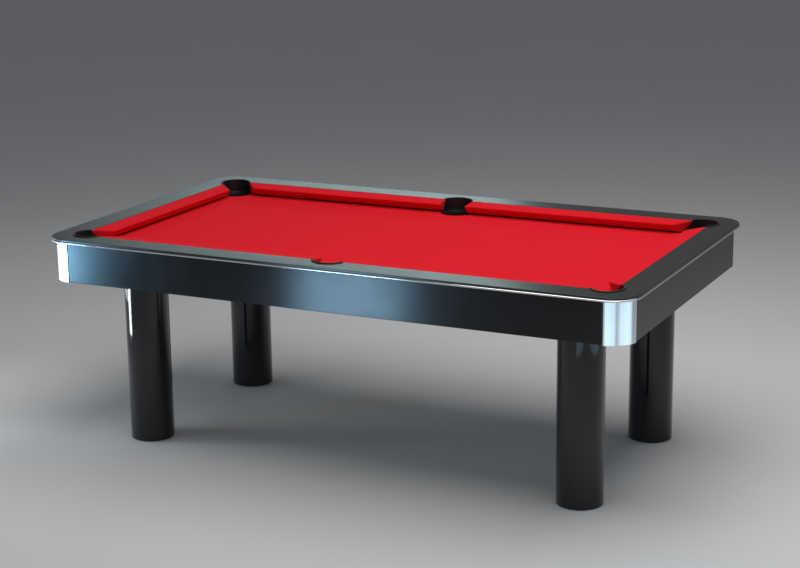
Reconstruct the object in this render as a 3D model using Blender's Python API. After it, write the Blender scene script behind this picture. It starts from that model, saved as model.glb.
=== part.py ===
"""A seven-foot six-pocket pool table on four round legs, modelled piece by piece.

Metres, +Z up. X runs along the table, Y across it, and the origin is on the floor under the
middle. One object is one physical piece. Run with: blender --background --python part.py
"""
import math

import bmesh
import bpy
from mathutils import Vector

# ---- driving dimensions ----------------------------------------------------
CLEAR = 0.0003                    # gap kept between pieces that touch

PLAY_LENGTH = 1.980               # cushion nose to cushion nose
PLAY_WIDTH = 0.990
CUSHION_WIDTH = 0.068             # nose to the edge of the rail top
RAIL_WIDTH = 0.102                # edge of the rail top to the outside of the trim
RAIL_TOP = 0.825
BED_TOP = 0.780                   # playing surface of the cloth
CLOTH_THICKNESS = 0.001
SLATE_THICKNESS = 0.0217
NOSE_HEIGHT = 0.0365              # cushion nose above the bed

CORNER_RADIUS = 0.105             # outside of the trim, seen from above
TRIM_DEPTH = 0.0067
TRIM_HALF_HEIGHT = 0.0045
TRIM_BELOW_TOP = 0.0115           # middle of the trim below the rail top
TRIM_JOINT = 0.0002               # half of the butt joint between its two lengths
LIP_INSET = 0.0030                # black edge above the trim
LIP_BREAK = 0.0014                # rounding of its upper edge
RAIL_UNDERSIDE = 0.8085           # where the rail overhangs the apron
SUBRAIL_DEPTH = 0.033             # wood under the cushion cloth, behind the rubber

APRON_INSET = 0.020               # outside of the trim to the face of the apron
APRON_THICKNESS = 0.018
APRON_BOTTOM = 0.6605
GROOVE_WIDTH = 0.0045             # shadow gap between an apron and a corner cap
CAP_WALL = 0.004
CAP_FLANGE = 0.022
CAP_DROP = 0.002                  # caps reach this much below the aprons

LINER_WALL = 0.0035
RIM_OVERHANG = 0.0025             # rim beyond the liner wall, lying on the rail top
RIM_HEIGHT = 0.0032
THROAT_LAP = 0.003                # how far the throat wall goes down into the bucket
BUCKET_BOTTOM = 0.690
BUCKET_FLOOR = 0.003
BUCKET_GROWTH = 0.001             # buckets are this much wider than the throat above
CORNER_POCKET = {
    "radius": 0.0550,             # inside of the liner
    "back": 0.0300,               # pocket centre, inward of the edges of the rail top
    "shelf": 0.0140,              # how far the bucket reaches in under the bed
    "nose_cut": 0.0720,           # cushion nose end, from the corner of the nose lines
    "edge_cut": 0.0800,           # cushion end at the rail, from the corner of the rail edges
}
SIDE_POCKET = {
    "radius": 0.0597,
    "back": 0.0195,
    "shelf": 0.0035,
    "nose_cut": 0.0540,           # half of the mouth at the nose
    "edge_cut": 0.0580,           # half of the mouth at the rail
}

SLATE_MARGIN = 0.055              # slate edge to the outside of the trim, on the long sides
SLATE_END_MARGIN = 0.050          # the same on the short sides
FRAME_TOP = BED_TOP - CLOTH_THICKNESS - SLATE_THICKNESS - 2 * CLEAR
LONG_BEAM_SIZE = (0.090, 0.050)   # width, height
CROSS_BEAM_SIZE = (0.100, 0.075)
MIDDLE_BEAM_SIZE = (0.090, 0.060)
BEAM_CLEAR = 0.0005               # from a beam end to the back of its apron

LEG_RADIUS = 0.0838
LEG_WALL = 0.006
LEG_X = 0.8855
LEG_Y = 0.3845
LEG_BOTTOM = 0.002
TOP_PLATE_SIZE = 0.150
TOP_PLATE_THICKNESS = 0.0055
PLUG_TOP = 0.045
PLUG_RECESS_RADIUS = 0.032
PLUG_RECESS_TOP = 0.0225

STEM_RADIUS = 0.006
STEM_TOP = 0.085
HEX_RADIUS = 0.0098
HEX_BOTTOM = 0.0095
HEX_TOP = 0.0165
SPIGOT_RADIUS = 0.0045
SPIGOT_BOTTOM = 0.0045
PAD_RADIUS = 0.026
PAD_BOTTOM = 0.0006
PAD_TOP = 0.0090
PAD_EDGE_HEIGHT = 0.0038          # straight part of the pad's rim
PAD_NECK_RADIUS = 0.012

SLOT_REACH = 0.12                 # bed cut-outs run this far out, past the slate's edge
CUT_MARGIN = 0.01                 # cutters stand this far proud of what they cut

# ---- values that follow from them ------------------------------------------
HALF_WIDTH = PLAY_WIDTH / 2 + CUSHION_WIDTH + RAIL_WIDTH      # to the outside of the trim
HALF_LENGTH = PLAY_LENGTH / 2 + CUSHION_WIDTH + RAIL_WIDTH
END_SHIFT = HALF_LENGTH - HALF_WIDTH        # a short side lies this much further out
NOSE = PLAY_WIDTH / 2                       # distances "out" are from the long centre line
RAIL_EDGE = NOSE + CUSHION_WIDTH
BED_SLATE_TOP = BED_TOP - CLOTH_THICKNESS - CLEAR
CORNER_CENTRE = HALF_WIDTH - CORNER_RADIUS
APRON_FACE = HALF_WIDTH - APRON_INSET
APRON_BACK = APRON_FACE - APRON_THICKNESS
APRON_TOP = RAIL_UNDERSIDE - CLEAR
RAIL_BOTTOM = BED_TOP + CLEAR
FLANGE_BACK = APRON_BACK - CLEAR - 0.003

SIDES = ("front", "back", "left", "right")
LEGS = {"front_left": (-1, -1), "front_right": (1, -1), "back_left": (-1, 1), "back_right": (1, 1)}


# ---- scene, materials and mesh helpers --------------------------------------
def clear_scene():
    for thing in list(bpy.data.objects):
        bpy.data.objects.remove(thing, do_unlink=True)


def make_material(name, colour, roughness, metallic=0.0):
    material = bpy.data.materials.new(name)
    material.use_nodes = True
    shader = material.node_tree.nodes["Principled BSDF"]
    shader.inputs["Base Color"].default_value = (*colour, 1.0)
    shader.inputs["Roughness"].default_value = roughness
    shader.inputs["Metallic"].default_value = metallic
    material.diffuse_color = (*colour, 1.0)
    return material


def make_materials():
    return {
        "red_cloth": make_material("red_cloth", (0.64, 0.015, 0.025), 0.95),
        "black_laminate": make_material("black_laminate", (0.03, 0.035, 0.035), 0.42),
        "black_gloss": make_material("black_gloss", (0.012, 0.013, 0.016), 0.15),
        "chrome_trim": make_material("chrome_trim", (0.85, 0.83, 0.82), 0.12, 1.0),
        "polished_aluminium": make_material("polished_aluminium", (0.80, 0.84, 0.88), 0.25, 1.0),
        "pocket_black": make_material("pocket_black", (0.010, 0.010, 0.011), 0.45),
        "slate": make_material("slate", (0.16, 0.17, 0.18), 0.75),
        "cushion_rubber": make_material("cushion_rubber", (0.33, 0.20, 0.13), 0.80),
        "frame_wood": make_material("frame_wood", (0.45, 0.30, 0.17), 0.65),
        "zinc_steel": make_material("zinc_steel", (0.55, 0.56, 0.58), 0.35, 1.0),
        "base_plastic": make_material("base_plastic", (0.018, 0.018, 0.020), 0.55),
    }


def add_object(name, mesh, material, smooth=False):
    mesh.name = name
    mesh.materials.append(material)
    if smooth:
        mesh.shade_smooth()
        mesh.set_sharp_from_angle(angle=math.radians(35))
    thing = bpy.data.objects.new(name, mesh)
    bpy.context.collection.objects.link(thing)
    return thing


def finish_mesh(bm):
    bmesh.ops.recalc_face_normals(bm, faces=bm.faces)
    mesh = bpy.data.meshes.new("piece")
    bm.to_mesh(mesh)
    bm.free()
    return mesh


def extrude_outline(outline, low, high):
    """A prism on an outline seen from above."""
    bm = bmesh.new()
    base = bm.faces.new([bm.verts.new((x, y, low)) for x, y in outline])
    lifted = bmesh.ops.extrude_face_region(bm, geom=[base])
    tops = [item for item in lifted["geom"] if isinstance(item, bmesh.types.BMVert)]
    bmesh.ops.translate(bm, verts=tops, vec=(0, 0, high - low))
    return finish_mesh(bm)


def block(low, high):
    return extrude_outline(rectangle(low[0], low[1], high[0], high[1]), low[2], high[2])


def rectangle(x0, y0, x1, y1):
    return [(x0, y0), (x1, y0), (x1, y1), (x0, y1)]


def turned(profile, centre, segments):
    """A ring turned from a closed (radius, height) profile that stays off the axis."""
    bm = bmesh.new()
    rings = []
    for step in range(segments):
        angle = 2 * math.pi * step / segments
        rings.append([bm.verts.new((centre[0] + r * math.cos(angle),
                                    centre[1] + r * math.sin(angle), z)) for r, z in profile])
    join_rings(bm, rings, closed=True)
    return finish_mesh(bm)


def turned_solid(profile, centre, segments):
    """A solid turned from an open profile whose two end points are on the axis."""
    bm = bmesh.new()
    rings = []
    for step in range(segments):
        angle = 2 * math.pi * step / segments
        rings.append([bm.verts.new((centre[0] + r * math.cos(angle),
                                    centre[1] + r * math.sin(angle), z)) for r, z in profile[1:-1]])
    join_rings(bm, rings, closed=True, wrap_profile=False)
    bm.faces.new([ring[0] for ring in rings])
    bm.faces.new([ring[-1] for ring in rings])
    return finish_mesh(bm)


def join_rings(bm, rings, closed, wrap_profile=True):
    """Quads between neighbouring rings, and end faces where the run isn't closed."""
    count = len(rings[0])
    pairs = list(zip(rings, rings[1:]))
    if closed:
        pairs.append((rings[-1], rings[0]))
    last = count if wrap_profile else count - 1
    for here, there in pairs:
        for i in range(last):
            j = (i + 1) % count
            bm.faces.new((here[i], here[j], there[j], there[i]))
    if not closed:
        bm.faces.new(rings[0])
        bm.faces.new(rings[-1])


def arc(centre, radius, start, end, steps):
    """Points on an arc, angles in degrees, both ends included."""
    points = []
    for step in range(steps + 1):
        angle = math.radians(start + (end - start) * step / steps)
        points.append((centre[0] + radius * math.cos(angle), centre[1] + radius * math.sin(angle)))
    return points


def place(side, along, out, height):
    """World point from a distance along a side, out from the centre line, and up."""
    if side == "front":
        return (along, -out, height)
    if side == "back":
        return (along, out, height)
    if side == "left":
        return (-(out + END_SHIFT), along, height)
    return (out + END_SHIFT, along, height)


def run_section(side, section, start, end):
    """Extrude an (out, height) section along a side; start and end give the cut at each out."""
    bm = bmesh.new()
    rings = [[bm.verts.new(place(side, cut(out), out, z)) for out, z in section]
             for cut in (start, end)]
    join_rings(bm, rings, closed=False)
    return finish_mesh(bm)


def add_cutter(name, mesh):
    cutter = bpy.data.objects.new(name, mesh)
    bpy.context.collection.objects.link(cutter)
    cutter.hide_render = True
    cutter.display_type = "WIRE"
    return cutter


def boolean(thing, other, operation="DIFFERENCE"):
    modifier = thing.modifiers.new(operation.lower(), "BOOLEAN")
    modifier.operation = operation
    modifier.solver = "EXACT"
    modifier.object = other


# ---- pockets in plan ---------------------------------------------------------
def pocket_list():
    """Name, centre, outward direction and dimensions of each pocket."""
    pockets = []
    corner_out = RAIL_EDGE - CORNER_POCKET["back"]
    for name, (sx, sy) in LEGS.items():
        centre = (sx * (corner_out + END_SHIFT), sy * corner_out)
        pockets.append((name, centre, Vector((sx, sy)).normalized(), CORNER_POCKET))
    for name, sy in (("front_middle", -1), ("back_middle", 1)):
        centre = (0.0, sy * (RAIL_EDGE - SIDE_POCKET["back"]))
        pockets.append((name, centre, Vector((0, sy)), SIDE_POCKET))
    return pockets


def slot_outline(centre, direction, inward, outward, radius, steps=12):
    """A round-ended slot around the pocket centre, along its outward direction."""
    heading = math.degrees(math.atan2(direction.y, direction.x))
    inner = (centre[0] - direction.x * inward, centre[1] - direction.y * inward)
    outer = (centre[0] + direction.x * outward, centre[1] + direction.y * outward)
    return (arc(outer, radius, heading - 90, heading + 90, steps)
            + arc(inner, radius, heading + 90, heading + 270, steps))


def bed_cutters():
    """Slots that open the slate and its cloth at each pocket, out through the edge."""
    cutters = []
    for name, centre, direction, pocket in pocket_list():
        radius = pocket["radius"] + LINER_WALL + BUCKET_GROWTH + 2 * CLEAR
        outline = slot_outline(centre, direction, pocket["shelf"], SLOT_REACH, radius)
        cutters.append(add_cutter("cut_bed_" + name,
                                  extrude_outline(outline, FRAME_TOP - CUT_MARGIN, BED_TOP + CUT_MARGIN)))
    return cutters


def rail_cutters():
    cutters = {}
    for name, centre, _, pocket in pocket_list():
        outline = arc(centre, pocket["radius"] + LINER_WALL + 2 * CLEAR, 0, 352.5, 47)
        mesh = extrude_outline(outline, RAIL_BOTTOM - CUT_MARGIN, RAIL_TOP + CUT_MARGIN)
        cutters[name] = add_cutter("cut_rail_" + name, mesh)
    return cutters


# ---- bed -----------------------------------------------------------------------
def build_bed(materials):
    cutters = bed_cutters()
    x = HALF_LENGTH - SLATE_END_MARGIN
    y = HALF_WIDTH - SLATE_MARGIN
    slate_low = BED_SLATE_TOP - SLATE_THICKNESS
    slate = add_object("bed_slate", block((-x, -y, slate_low), (x, y, BED_SLATE_TOP)), materials["slate"])
    cloth_low = BED_TOP - CLOTH_THICKNESS
    cloth = add_object("bed_cloth", block((-x, -y, cloth_low), (x, y, BED_TOP)), materials["red_cloth"])
    for cutter in cutters:
        boolean(slate, cutter)
        boolean(cloth, cutter)


# ---- rails -----------------------------------------------------------------------
def cloth_line():
    """Outside of the cushion cloth, from the rail edge over the nose to the sub-rail."""
    nose_z = BED_TOP + NOSE_HEIGHT
    return [(RAIL_EDGE - CLEAR, RAIL_TOP - 0.0007), (NOSE + 0.0035, nose_z + 0.0005),
            (NOSE + 0.0010, nose_z - 0.0005), (NOSE, nose_z - 0.0018), (NOSE + 0.0008, nose_z - 0.0034),
            (NOSE + 0.0222, BED_TOP + 0.0080), (RAIL_EDGE - SUBRAIL_DEPTH - CLEAR, BED_TOP + 0.0036)]


def inset_line(line, distance):
    """The same open line moved sideways, into the cushion."""
    moved = []
    for i, (out, z) in enumerate(line):
        before = Vector(line[max(i - 1, 0)])
        after = Vector(line[min(i + 1, len(line) - 1)])
        along = (after - before).normalized()
        moved.append((out - along.y * distance, z + along.x * distance))
    return moved


def rail_section():
    """The rail body outside the cushion: a lower body, an overhang and a lip above the trim."""
    lip = HALF_WIDTH - LIP_INSET
    trim_back = HALF_WIDTH - TRIM_DEPTH - CLEAR
    trim_top = RAIL_TOP - TRIM_BELOW_TOP + TRIM_HALF_HEIGHT + CLEAR
    body = FLANGE_BACK - 2 * CLEAR
    return [(RAIL_EDGE, RAIL_BOTTOM), (body, RAIL_BOTTOM), (body, RAIL_UNDERSIDE),
            (trim_back, RAIL_UNDERSIDE), (trim_back, trim_top), (lip, trim_top),
            (lip, RAIL_TOP - LIP_BREAK), (lip - 0.0004, RAIL_TOP - 0.0004),
            (lip - LIP_BREAK, RAIL_TOP), (RAIL_EDGE, RAIL_TOP)]


def swept_rail(side):
    """Sweep the rail section along a side and round its two corners, then cut the mitres."""
    reach = CORNER_CENTRE + (END_SHIFT if side in ("front", "back") else 0.0)
    section = rail_section()
    steps = 7
    turn = math.radians(50)
    bm = bmesh.new()
    rings = []
    for end, order in ((-1, range(steps, -1, -1)), (1, range(steps + 1))):
        for step in order:
            angle = turn * step / steps
            ring = []
            for out, z in section:
                radius = out - CORNER_CENTRE
                along = end * (reach + radius * math.sin(angle))
                ring.append(bm.verts.new(place(side, along, CORNER_CENTRE + radius * math.cos(angle), z)))
            rings.append(ring)
    join_rings(bm, rings, closed=False)
    for end in (-1, 1):
        corner = Vector(place(side, end * reach, CORNER_CENTRE, 0.0))
        outward = Vector(place(side, end * (reach + 1), CORNER_CENTRE, 0.0)) - corner
        inward = Vector(place(side, end * reach, CORNER_CENTRE - 1, 0.0)) - corner
        normal = (outward + inward).normalized()
        geometry = bm.verts[:] + bm.edges[:] + bm.faces[:]
        cut = bmesh.ops.bisect_plane(bm, geom=geometry, plane_co=corner - normal * CLEAR / 2,
                                     plane_no=normal, clear_outer=True)
        rim = [item for item in cut["geom_cut"] if isinstance(item, bmesh.types.BMEdge)]
        bmesh.ops.contextual_create(bm, geom=rim)
    return finish_mesh(bm)


def facing(pocket, reach, sign, inset):
    """Where a cushion ends at each distance out; reach is the corner of the nose lines."""
    if pocket is SIDE_POCKET:
        start, end = pocket["nose_cut"], pocket["edge_cut"]
    else:
        start, end = reach - pocket["nose_cut"], reach + CUSHION_WIDTH - pocket["edge_cut"]
    slope = (end - start) / CUSHION_WIDTH
    away = inset * math.hypot(1, slope) * (1 if pocket is SIDE_POCKET else -1)
    return lambda out: sign * (start + slope * (out - NOSE) + away)


def cushion_runs():
    """Name, side and the two ends of each cushion; an end is made a cut by facing()."""
    long_end = PLAY_LENGTH / 2
    short_end = PLAY_WIDTH / 2
    runs = []
    for side in ("front", "back"):
        runs.append((side + "_left", side, (CORNER_POCKET, long_end, -1), (SIDE_POCKET, 0, -1)))
        runs.append((side + "_right", side, (SIDE_POCKET, 0, 1), (CORNER_POCKET, long_end, 1)))
    for side in ("left", "right"):
        runs.append((side, side, (CORNER_POCKET, short_end, -1), (CORNER_POCKET, short_end, 1)))
    return runs


def subrail_section():
    under_cloth = inset_line(cloth_line(), CLOTH_THICKNESS + CLEAR)
    face = RAIL_EDGE - SUBRAIL_DEPTH
    back_z = under_cloth[0][1]
    nose_z = under_cloth[1][1]
    slope = (back_z - nose_z) / (under_cloth[0][0] - under_cloth[1][0])
    lap = 0.001
    return [(face, RAIL_BOTTOM), (RAIL_EDGE + lap, RAIL_BOTTOM), (RAIL_EDGE + lap, back_z),
            (face, back_z - slope * SUBRAIL_DEPTH)]


def rubber_section():
    under_cloth = inset_line(cloth_line(), CLOTH_THICKNESS + CLEAR)
    face = RAIL_EDGE - SUBRAIL_DEPTH - CLEAR
    top = subrail_section()[3][1]
    return [(face, top)] + under_cloth[1:6] + [(face, under_cloth[6][1] + 0.001)]


def build_rails(materials):
    cutters = rail_cutters()
    near = {"front": ("front_left", "front_right", "front_middle"),
            "back": ("back_left", "back_right", "back_middle"),
            "left": ("front_left", "back_left"), "right": ("front_right", "back_right")}
    inset = CLOTH_THICKNESS + CLEAR
    for side in SIDES:
        rail = add_object("rail_" + side, swept_rail(side), materials["black_laminate"])
        for name, run_side, start, end in cushion_runs():
            if run_side == side:
                mesh = run_section(side, subrail_section(), facing(*start, inset), facing(*end, inset))
                boolean(rail, add_cutter("lap_" + name, mesh), "UNION")
        for name in near[side]:
            boolean(rail, cutters[name])


def build_cushions(materials):
    gap = CLOTH_THICKNESS + CLEAR
    outer = cloth_line()
    inner = inset_line(outer, CLOTH_THICKNESS)
    behind = RAIL_EDGE + 2 * CUT_MARGIN
    below = BED_TOP - 2 * CUT_MARGIN
    face = outer[-1][0] - CLEAR / 2
    shell_section = outer + [(RAIL_EDGE - CLEAR, outer[-1][1])]
    core_section = ([(behind, inner[0][1] + 0.0022)] + inner[:-1]
                    + [(face, inner[-1][1]), (face, below), (behind, below)])
    for name, side, start, end in cushion_runs():
        rubber = run_section(side, rubber_section(), facing(*start, gap), facing(*end, gap))
        add_object("cushion_rubber_" + name, rubber, materials["cushion_rubber"])
        shell = run_section(side, shell_section, facing(*start, 0.0), facing(*end, 0.0))
        core = run_section(side, core_section, facing(*start, CLOTH_THICKNESS),
                           facing(*end, CLOTH_THICKNESS))
        cover = add_object("cushion_cloth_" + name, shell, materials["red_cloth"])
        boolean(cover, add_cutter("core_" + name, core))


# ---- trim, aprons and corner caps ---------------------------------------------------
def build_trim(materials):
    """A half-round bead in two halves, butted at the middle of each long side."""
    middle = RAIL_TOP - TRIM_BELOW_TOP
    back = -TRIM_DEPTH
    bead = [(back + TRIM_DEPTH * math.cos(math.radians(a)), TRIM_HALF_HEIGHT * math.sin(math.radians(a)))
            for a in range(-90, 91, 30)]
    for name, sign in (("trim_left_half", -1), ("trim_right_half", 1)):
        bm = bmesh.new()
        rings = []
        centre_x = CORNER_CENTRE + END_SHIFT
        stations = [(TRIM_JOINT, -CORNER_CENTRE, -90)]
        stations += [(centre_x, -CORNER_CENTRE, angle) for angle in range(-90, 1, 9)]
        stations += [(centre_x, CORNER_CENTRE, angle) for angle in range(0, 91, 9)]
        stations.append((TRIM_JOINT, CORNER_CENTRE, 90))
        for x, y, angle in stations:
            turn = math.radians(angle)
            rings.append([bm.verts.new((sign * (x + (CORNER_RADIUS + d) * math.cos(turn)),
                                        y + (CORNER_RADIUS + d) * math.sin(turn), middle + z))
                          for d, z in bead])
        join_rings(bm, rings, closed=False)
        add_object(name, finish_mesh(bm), materials["chrome_trim"], smooth=True)


def build_aprons(materials):
    chamfer = 0.002
    section = [(APRON_BACK, APRON_BOTTOM), (APRON_FACE - chamfer, APRON_BOTTOM),
               (APRON_FACE - chamfer * 0.3, APRON_BOTTOM + chamfer * 0.3),
               (APRON_FACE, APRON_BOTTOM + chamfer), (APRON_FACE, APRON_TOP), (APRON_BACK, APRON_TOP)]
    for side in SIDES:
        reach = CORNER_CENTRE + (END_SHIFT if side in ("front", "back") else 0.0) - GROOVE_WIDTH
        mesh = run_section(side, section, lambda out: -reach, lambda out: reach)
        add_object("apron_" + side, mesh, materials["black_gloss"])


def build_caps(materials):
    """Quarter-round extrusions whose flanges lie behind the aprons."""
    outer = CORNER_RADIUS - APRON_INSET
    inner = outer - CAP_WALL
    step = APRON_BACK - CLEAR - CORNER_CENTRE
    back = FLANGE_BACK - CORNER_CENTRE
    outline = arc((0, 0), outer, 0, 90, 12)
    outline += [(0, step), (-CAP_FLANGE, step), (-CAP_FLANGE, back), (CAP_WALL, back)]
    outline += arc((0, 0), inner, 90 - 3.2, 3.2, 10)
    outline += [(back, CAP_WALL), (back, -CAP_FLANGE), (step, -CAP_FLANGE), (step, 0)]
    for name, (sx, sy) in LEGS.items():
        placed = [(sx * (CORNER_CENTRE + END_SHIFT + x), sy * (CORNER_CENTRE + y)) for x, y in outline]
        mesh = extrude_outline(placed, APRON_BOTTOM - CAP_DROP, APRON_TOP)
        add_object("corner_cap_" + name, mesh, materials["polished_aluminium"], smooth=True)


# ---- pockets ---------------------------------------------------------------------------
def build_pockets(materials):
    """A bucket under the bed, a throat wall inside the rail and a rim on the rail top."""
    keep_out = RAIL_EDGE + CLEAR
    mouths = add_cutter("cut_throat_mouths", block(
        (-keep_out - END_SHIFT, -keep_out, 0.0), (keep_out + END_SHIFT, keep_out, 1.0)))
    rim_low = RAIL_TOP + CLEAR
    foot = BED_SLATE_TOP - THROAT_LAP
    for name, centre, direction, pocket in pocket_list():
        inner = pocket["radius"]
        outer = inner + LINER_WALL
        rim = outer + RIM_OVERHANG
        throat = [(inner, foot), (outer, foot), (outer, rim_low), (rim, rim_low),
                  (rim - 0.0006, rim_low + 0.0022), (rim - 0.0022, rim_low + RIM_HEIGHT),
                  (inner + 0.0018, rim_low + RIM_HEIGHT), (inner, rim_low + 0.0015)]
        outer += BUCKET_GROWTH
        bucket = [(outer, BUCKET_BOTTOM), (outer, BED_SLATE_TOP), (outer - LINER_WALL, BED_SLATE_TOP),
                  (outer - LINER_WALL, BUCKET_BOTTOM + BUCKET_FLOOR)]
        bm = bmesh.new()
        rings = []
        for radius, z in bucket:
            outline = slot_outline(centre, direction, pocket["shelf"], 0.0, radius)
            rings.append([bm.verts.new((x, y, z)) for x, y in outline])
        join_rings(bm, rings, closed=False)
        ring = turned(throat, centre, 36)
        liner = add_object("pocket_" + name, ring, materials["pocket_black"], smooth=True)
        boolean(liner, mouths)
        boolean(liner, add_cutter("bucket_" + name, finish_mesh(bm)), "UNION")


# ---- frame under the slate ----------------------------------------------------------------
def build_frame(materials):
    wood = materials["frame_wood"]
    cross_half = CROSS_BEAM_SIZE[0] / 2
    long_half = LONG_BEAM_SIZE[0] / 2
    long_low = FRAME_TOP - LONG_BEAM_SIZE[1]
    cross_low = FRAME_TOP - CROSS_BEAM_SIZE[1]
    long_reach = APRON_BACK + END_SHIFT - BEAM_CLEAR
    cross_reach = APRON_BACK - BEAM_CLEAR
    notches = []
    for name, sy in (("front", -1), ("back", 1)):
        low = (-long_reach, sy * LEG_Y - long_half, long_low)
        high = (long_reach, sy * LEG_Y + long_half, FRAME_TOP)
        add_object("beam_" + name, block(low, high), wood)
        notches.append(add_cutter("notch_" + name, block(
            (low[0], low[1] - CLEAR, low[2] - CLEAR), (high[0], high[1] + CLEAR, high[2] + CUT_MARGIN))))
    for name, sx in (("left", -1), ("right", 1)):
        low = (sx * LEG_X - cross_half, -cross_reach, cross_low)
        high = (sx * LEG_X + cross_half, cross_reach, FRAME_TOP)
        cross = add_object("cross_beam_" + name, block(low, high), wood)
        for notch in notches:
            boolean(cross, notch)
    half = MIDDLE_BEAM_SIZE[0] / 2
    reach = LEG_Y - long_half - CLEAR
    add_object("cross_beam_middle", block((-half, -reach, FRAME_TOP - MIDDLE_BEAM_SIZE[1]),
                                          (half, reach, FRAME_TOP)), wood)


# ---- legs and levelling feet -----------------------------------------------------------------
def build_leg(name, centre, materials):
    leg_top = FRAME_TOP - CROSS_BEAM_SIZE[1] - TOP_PLATE_THICKNESS - 2 * CLEAR
    inner = LEG_RADIUS - LEG_WALL
    bevel = 0.0015
    tube = [(inner, LEG_BOTTOM), (LEG_RADIUS - bevel, LEG_BOTTOM), (LEG_RADIUS, LEG_BOTTOM + bevel),
            (LEG_RADIUS, leg_top), (inner, leg_top)]
    add_object("leg_tube_" + name, turned(tube, centre, 56), materials["black_gloss"], smooth=True)

    half = TOP_PLATE_SIZE / 2
    plate_low = leg_top + CLEAR
    add_object("leg_top_plate_" + name,
               block((centre[0] - half, centre[1] - half, plate_low),
                     (centre[0] + half, centre[1] + half, plate_low + TOP_PLATE_THICKNESS)),
               materials["zinc_steel"])

    bore = STEM_RADIUS + CLEAR
    outside = inner - CLEAR
    plug = [(bore, PLUG_RECESS_TOP), (PLUG_RECESS_RADIUS, PLUG_RECESS_TOP), (PLUG_RECESS_RADIUS, 0.0),
            (outside - 0.001, 0.0), (outside, 0.001), (outside, PLUG_TOP), (bore, PLUG_TOP)]
    add_object("leg_base_" + name, turned(plug, centre, 40), materials["base_plastic"], smooth=True)


def build_leveller(name, centre, materials):
    """A pad that moves down on its screw; both turn about or slide along the leg's axis."""
    axis = bpy.data.objects.new("leveller_axis_" + name, None)
    axis.location = (*centre, 0.0)
    bpy.context.collection.objects.link(axis)
    socket = SPIGOT_RADIUS + CLEAR
    pad = [(0, PAD_BOTTOM), (PAD_RADIUS - 0.001, PAD_BOTTOM), (PAD_RADIUS, PAD_BOTTOM + 0.001),
           (PAD_RADIUS, PAD_BOTTOM + PAD_EDGE_HEIGHT), (PAD_NECK_RADIUS, PAD_TOP - 0.0012),
           (PAD_NECK_RADIUS - 0.0012, PAD_TOP),
           (socket, PAD_TOP), (socket, SPIGOT_BOTTOM - CLEAR), (0, SPIGOT_BOTTOM - CLEAR)]
    pad_object = add_object("leveller_pad_" + name, turned_solid(pad, (0, 0), 24),
                            materials["base_plastic"], smooth=True)
    pad_object.parent = axis

    screw = [(0, SPIGOT_BOTTOM), (SPIGOT_RADIUS, SPIGOT_BOTTOM), (SPIGOT_RADIUS, HEX_BOTTOM),
             (STEM_RADIUS, HEX_BOTTOM), (STEM_RADIUS, STEM_TOP - 0.001), (STEM_RADIUS - 0.001, STEM_TOP),
             (0, STEM_TOP)]
    stem = add_object("leveller_screw_" + name, turned_solid(screw, (0, 0), 24),
                      materials["zinc_steel"], smooth=True)
    stem.parent = axis
    hexagon = add_cutter("hex_" + name, extrude_outline(arc((0, 0), HEX_RADIUS, 0, 300, 5),
                                                        HEX_BOTTOM, HEX_TOP))
    hexagon.parent = axis
    boolean(stem, hexagon, "UNION")


def build_table():
    clear_scene()
    materials = make_materials()
    build_bed(materials)
    build_rails(materials)
    build_cushions(materials)
    build_trim(materials)
    build_aprons(materials)
    build_caps(materials)
    build_pockets(materials)
    build_frame(materials)
    for name, (sx, sy) in LEGS.items():
        centre = (sx * LEG_X, sy * LEG_Y)
        build_leg(name, centre, materials)
        build_leveller(name, centre, materials)


build_table()
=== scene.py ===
# A seven-foot pool table: red cloth, satin black rail tops and aprons, gloss black legs, bright corner caps.
import bpy
import bmesh
import math
from mathutils import Matrix, Vector


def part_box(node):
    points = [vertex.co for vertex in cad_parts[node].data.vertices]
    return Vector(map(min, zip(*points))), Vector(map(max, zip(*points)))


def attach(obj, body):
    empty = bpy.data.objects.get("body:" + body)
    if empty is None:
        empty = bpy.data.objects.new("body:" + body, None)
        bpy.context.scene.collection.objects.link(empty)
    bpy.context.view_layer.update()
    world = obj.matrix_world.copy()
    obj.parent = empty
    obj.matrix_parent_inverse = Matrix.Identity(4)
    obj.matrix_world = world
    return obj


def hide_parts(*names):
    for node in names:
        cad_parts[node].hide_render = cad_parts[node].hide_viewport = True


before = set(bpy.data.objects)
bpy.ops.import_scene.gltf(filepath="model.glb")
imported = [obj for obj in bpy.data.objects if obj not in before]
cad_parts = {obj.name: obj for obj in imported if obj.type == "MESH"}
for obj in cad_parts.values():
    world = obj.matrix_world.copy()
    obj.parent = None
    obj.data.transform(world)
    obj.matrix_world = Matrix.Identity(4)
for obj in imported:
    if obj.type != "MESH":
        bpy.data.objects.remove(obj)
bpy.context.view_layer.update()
print("frame loaded:", len(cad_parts), "nodes")

legSigns = {"front_left": (-1, -1), "front_right": (1, -1), "back_left": (-1, 1), "back_right": (1, 1)}
sides = ("front", "back", "left", "right")
gap = 0.0003  # between neighbouring pieces
mergeDistance = 2e-6
noseAboveBed = 0.0365
cornerReach = 0.105  # from the rounded corner's middle to the outside of the bead

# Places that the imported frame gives.
halfLength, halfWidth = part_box("trim_right_half")[1].x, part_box("trim_right_half")[1].y
endShift = halfLength - halfWidth  # a short side lies this much further out than a long one
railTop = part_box("rail_front")[1].z
railEdge = -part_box("cushion_cloth_front_left")[0].y + gap
noseOut = -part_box("cushion_cloth_front_left")[1].y
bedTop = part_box("bed_cloth")[1].z
slateLow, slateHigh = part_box("bed_slate")
apronLow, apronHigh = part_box("apron_front")
capLow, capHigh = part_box("corner_cap_front_right")
noseHeight = bedTop + noseAboveBed
cornerCentre = halfWidth - cornerReach  # middle of the rounded corner, out from the long centre line


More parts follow.
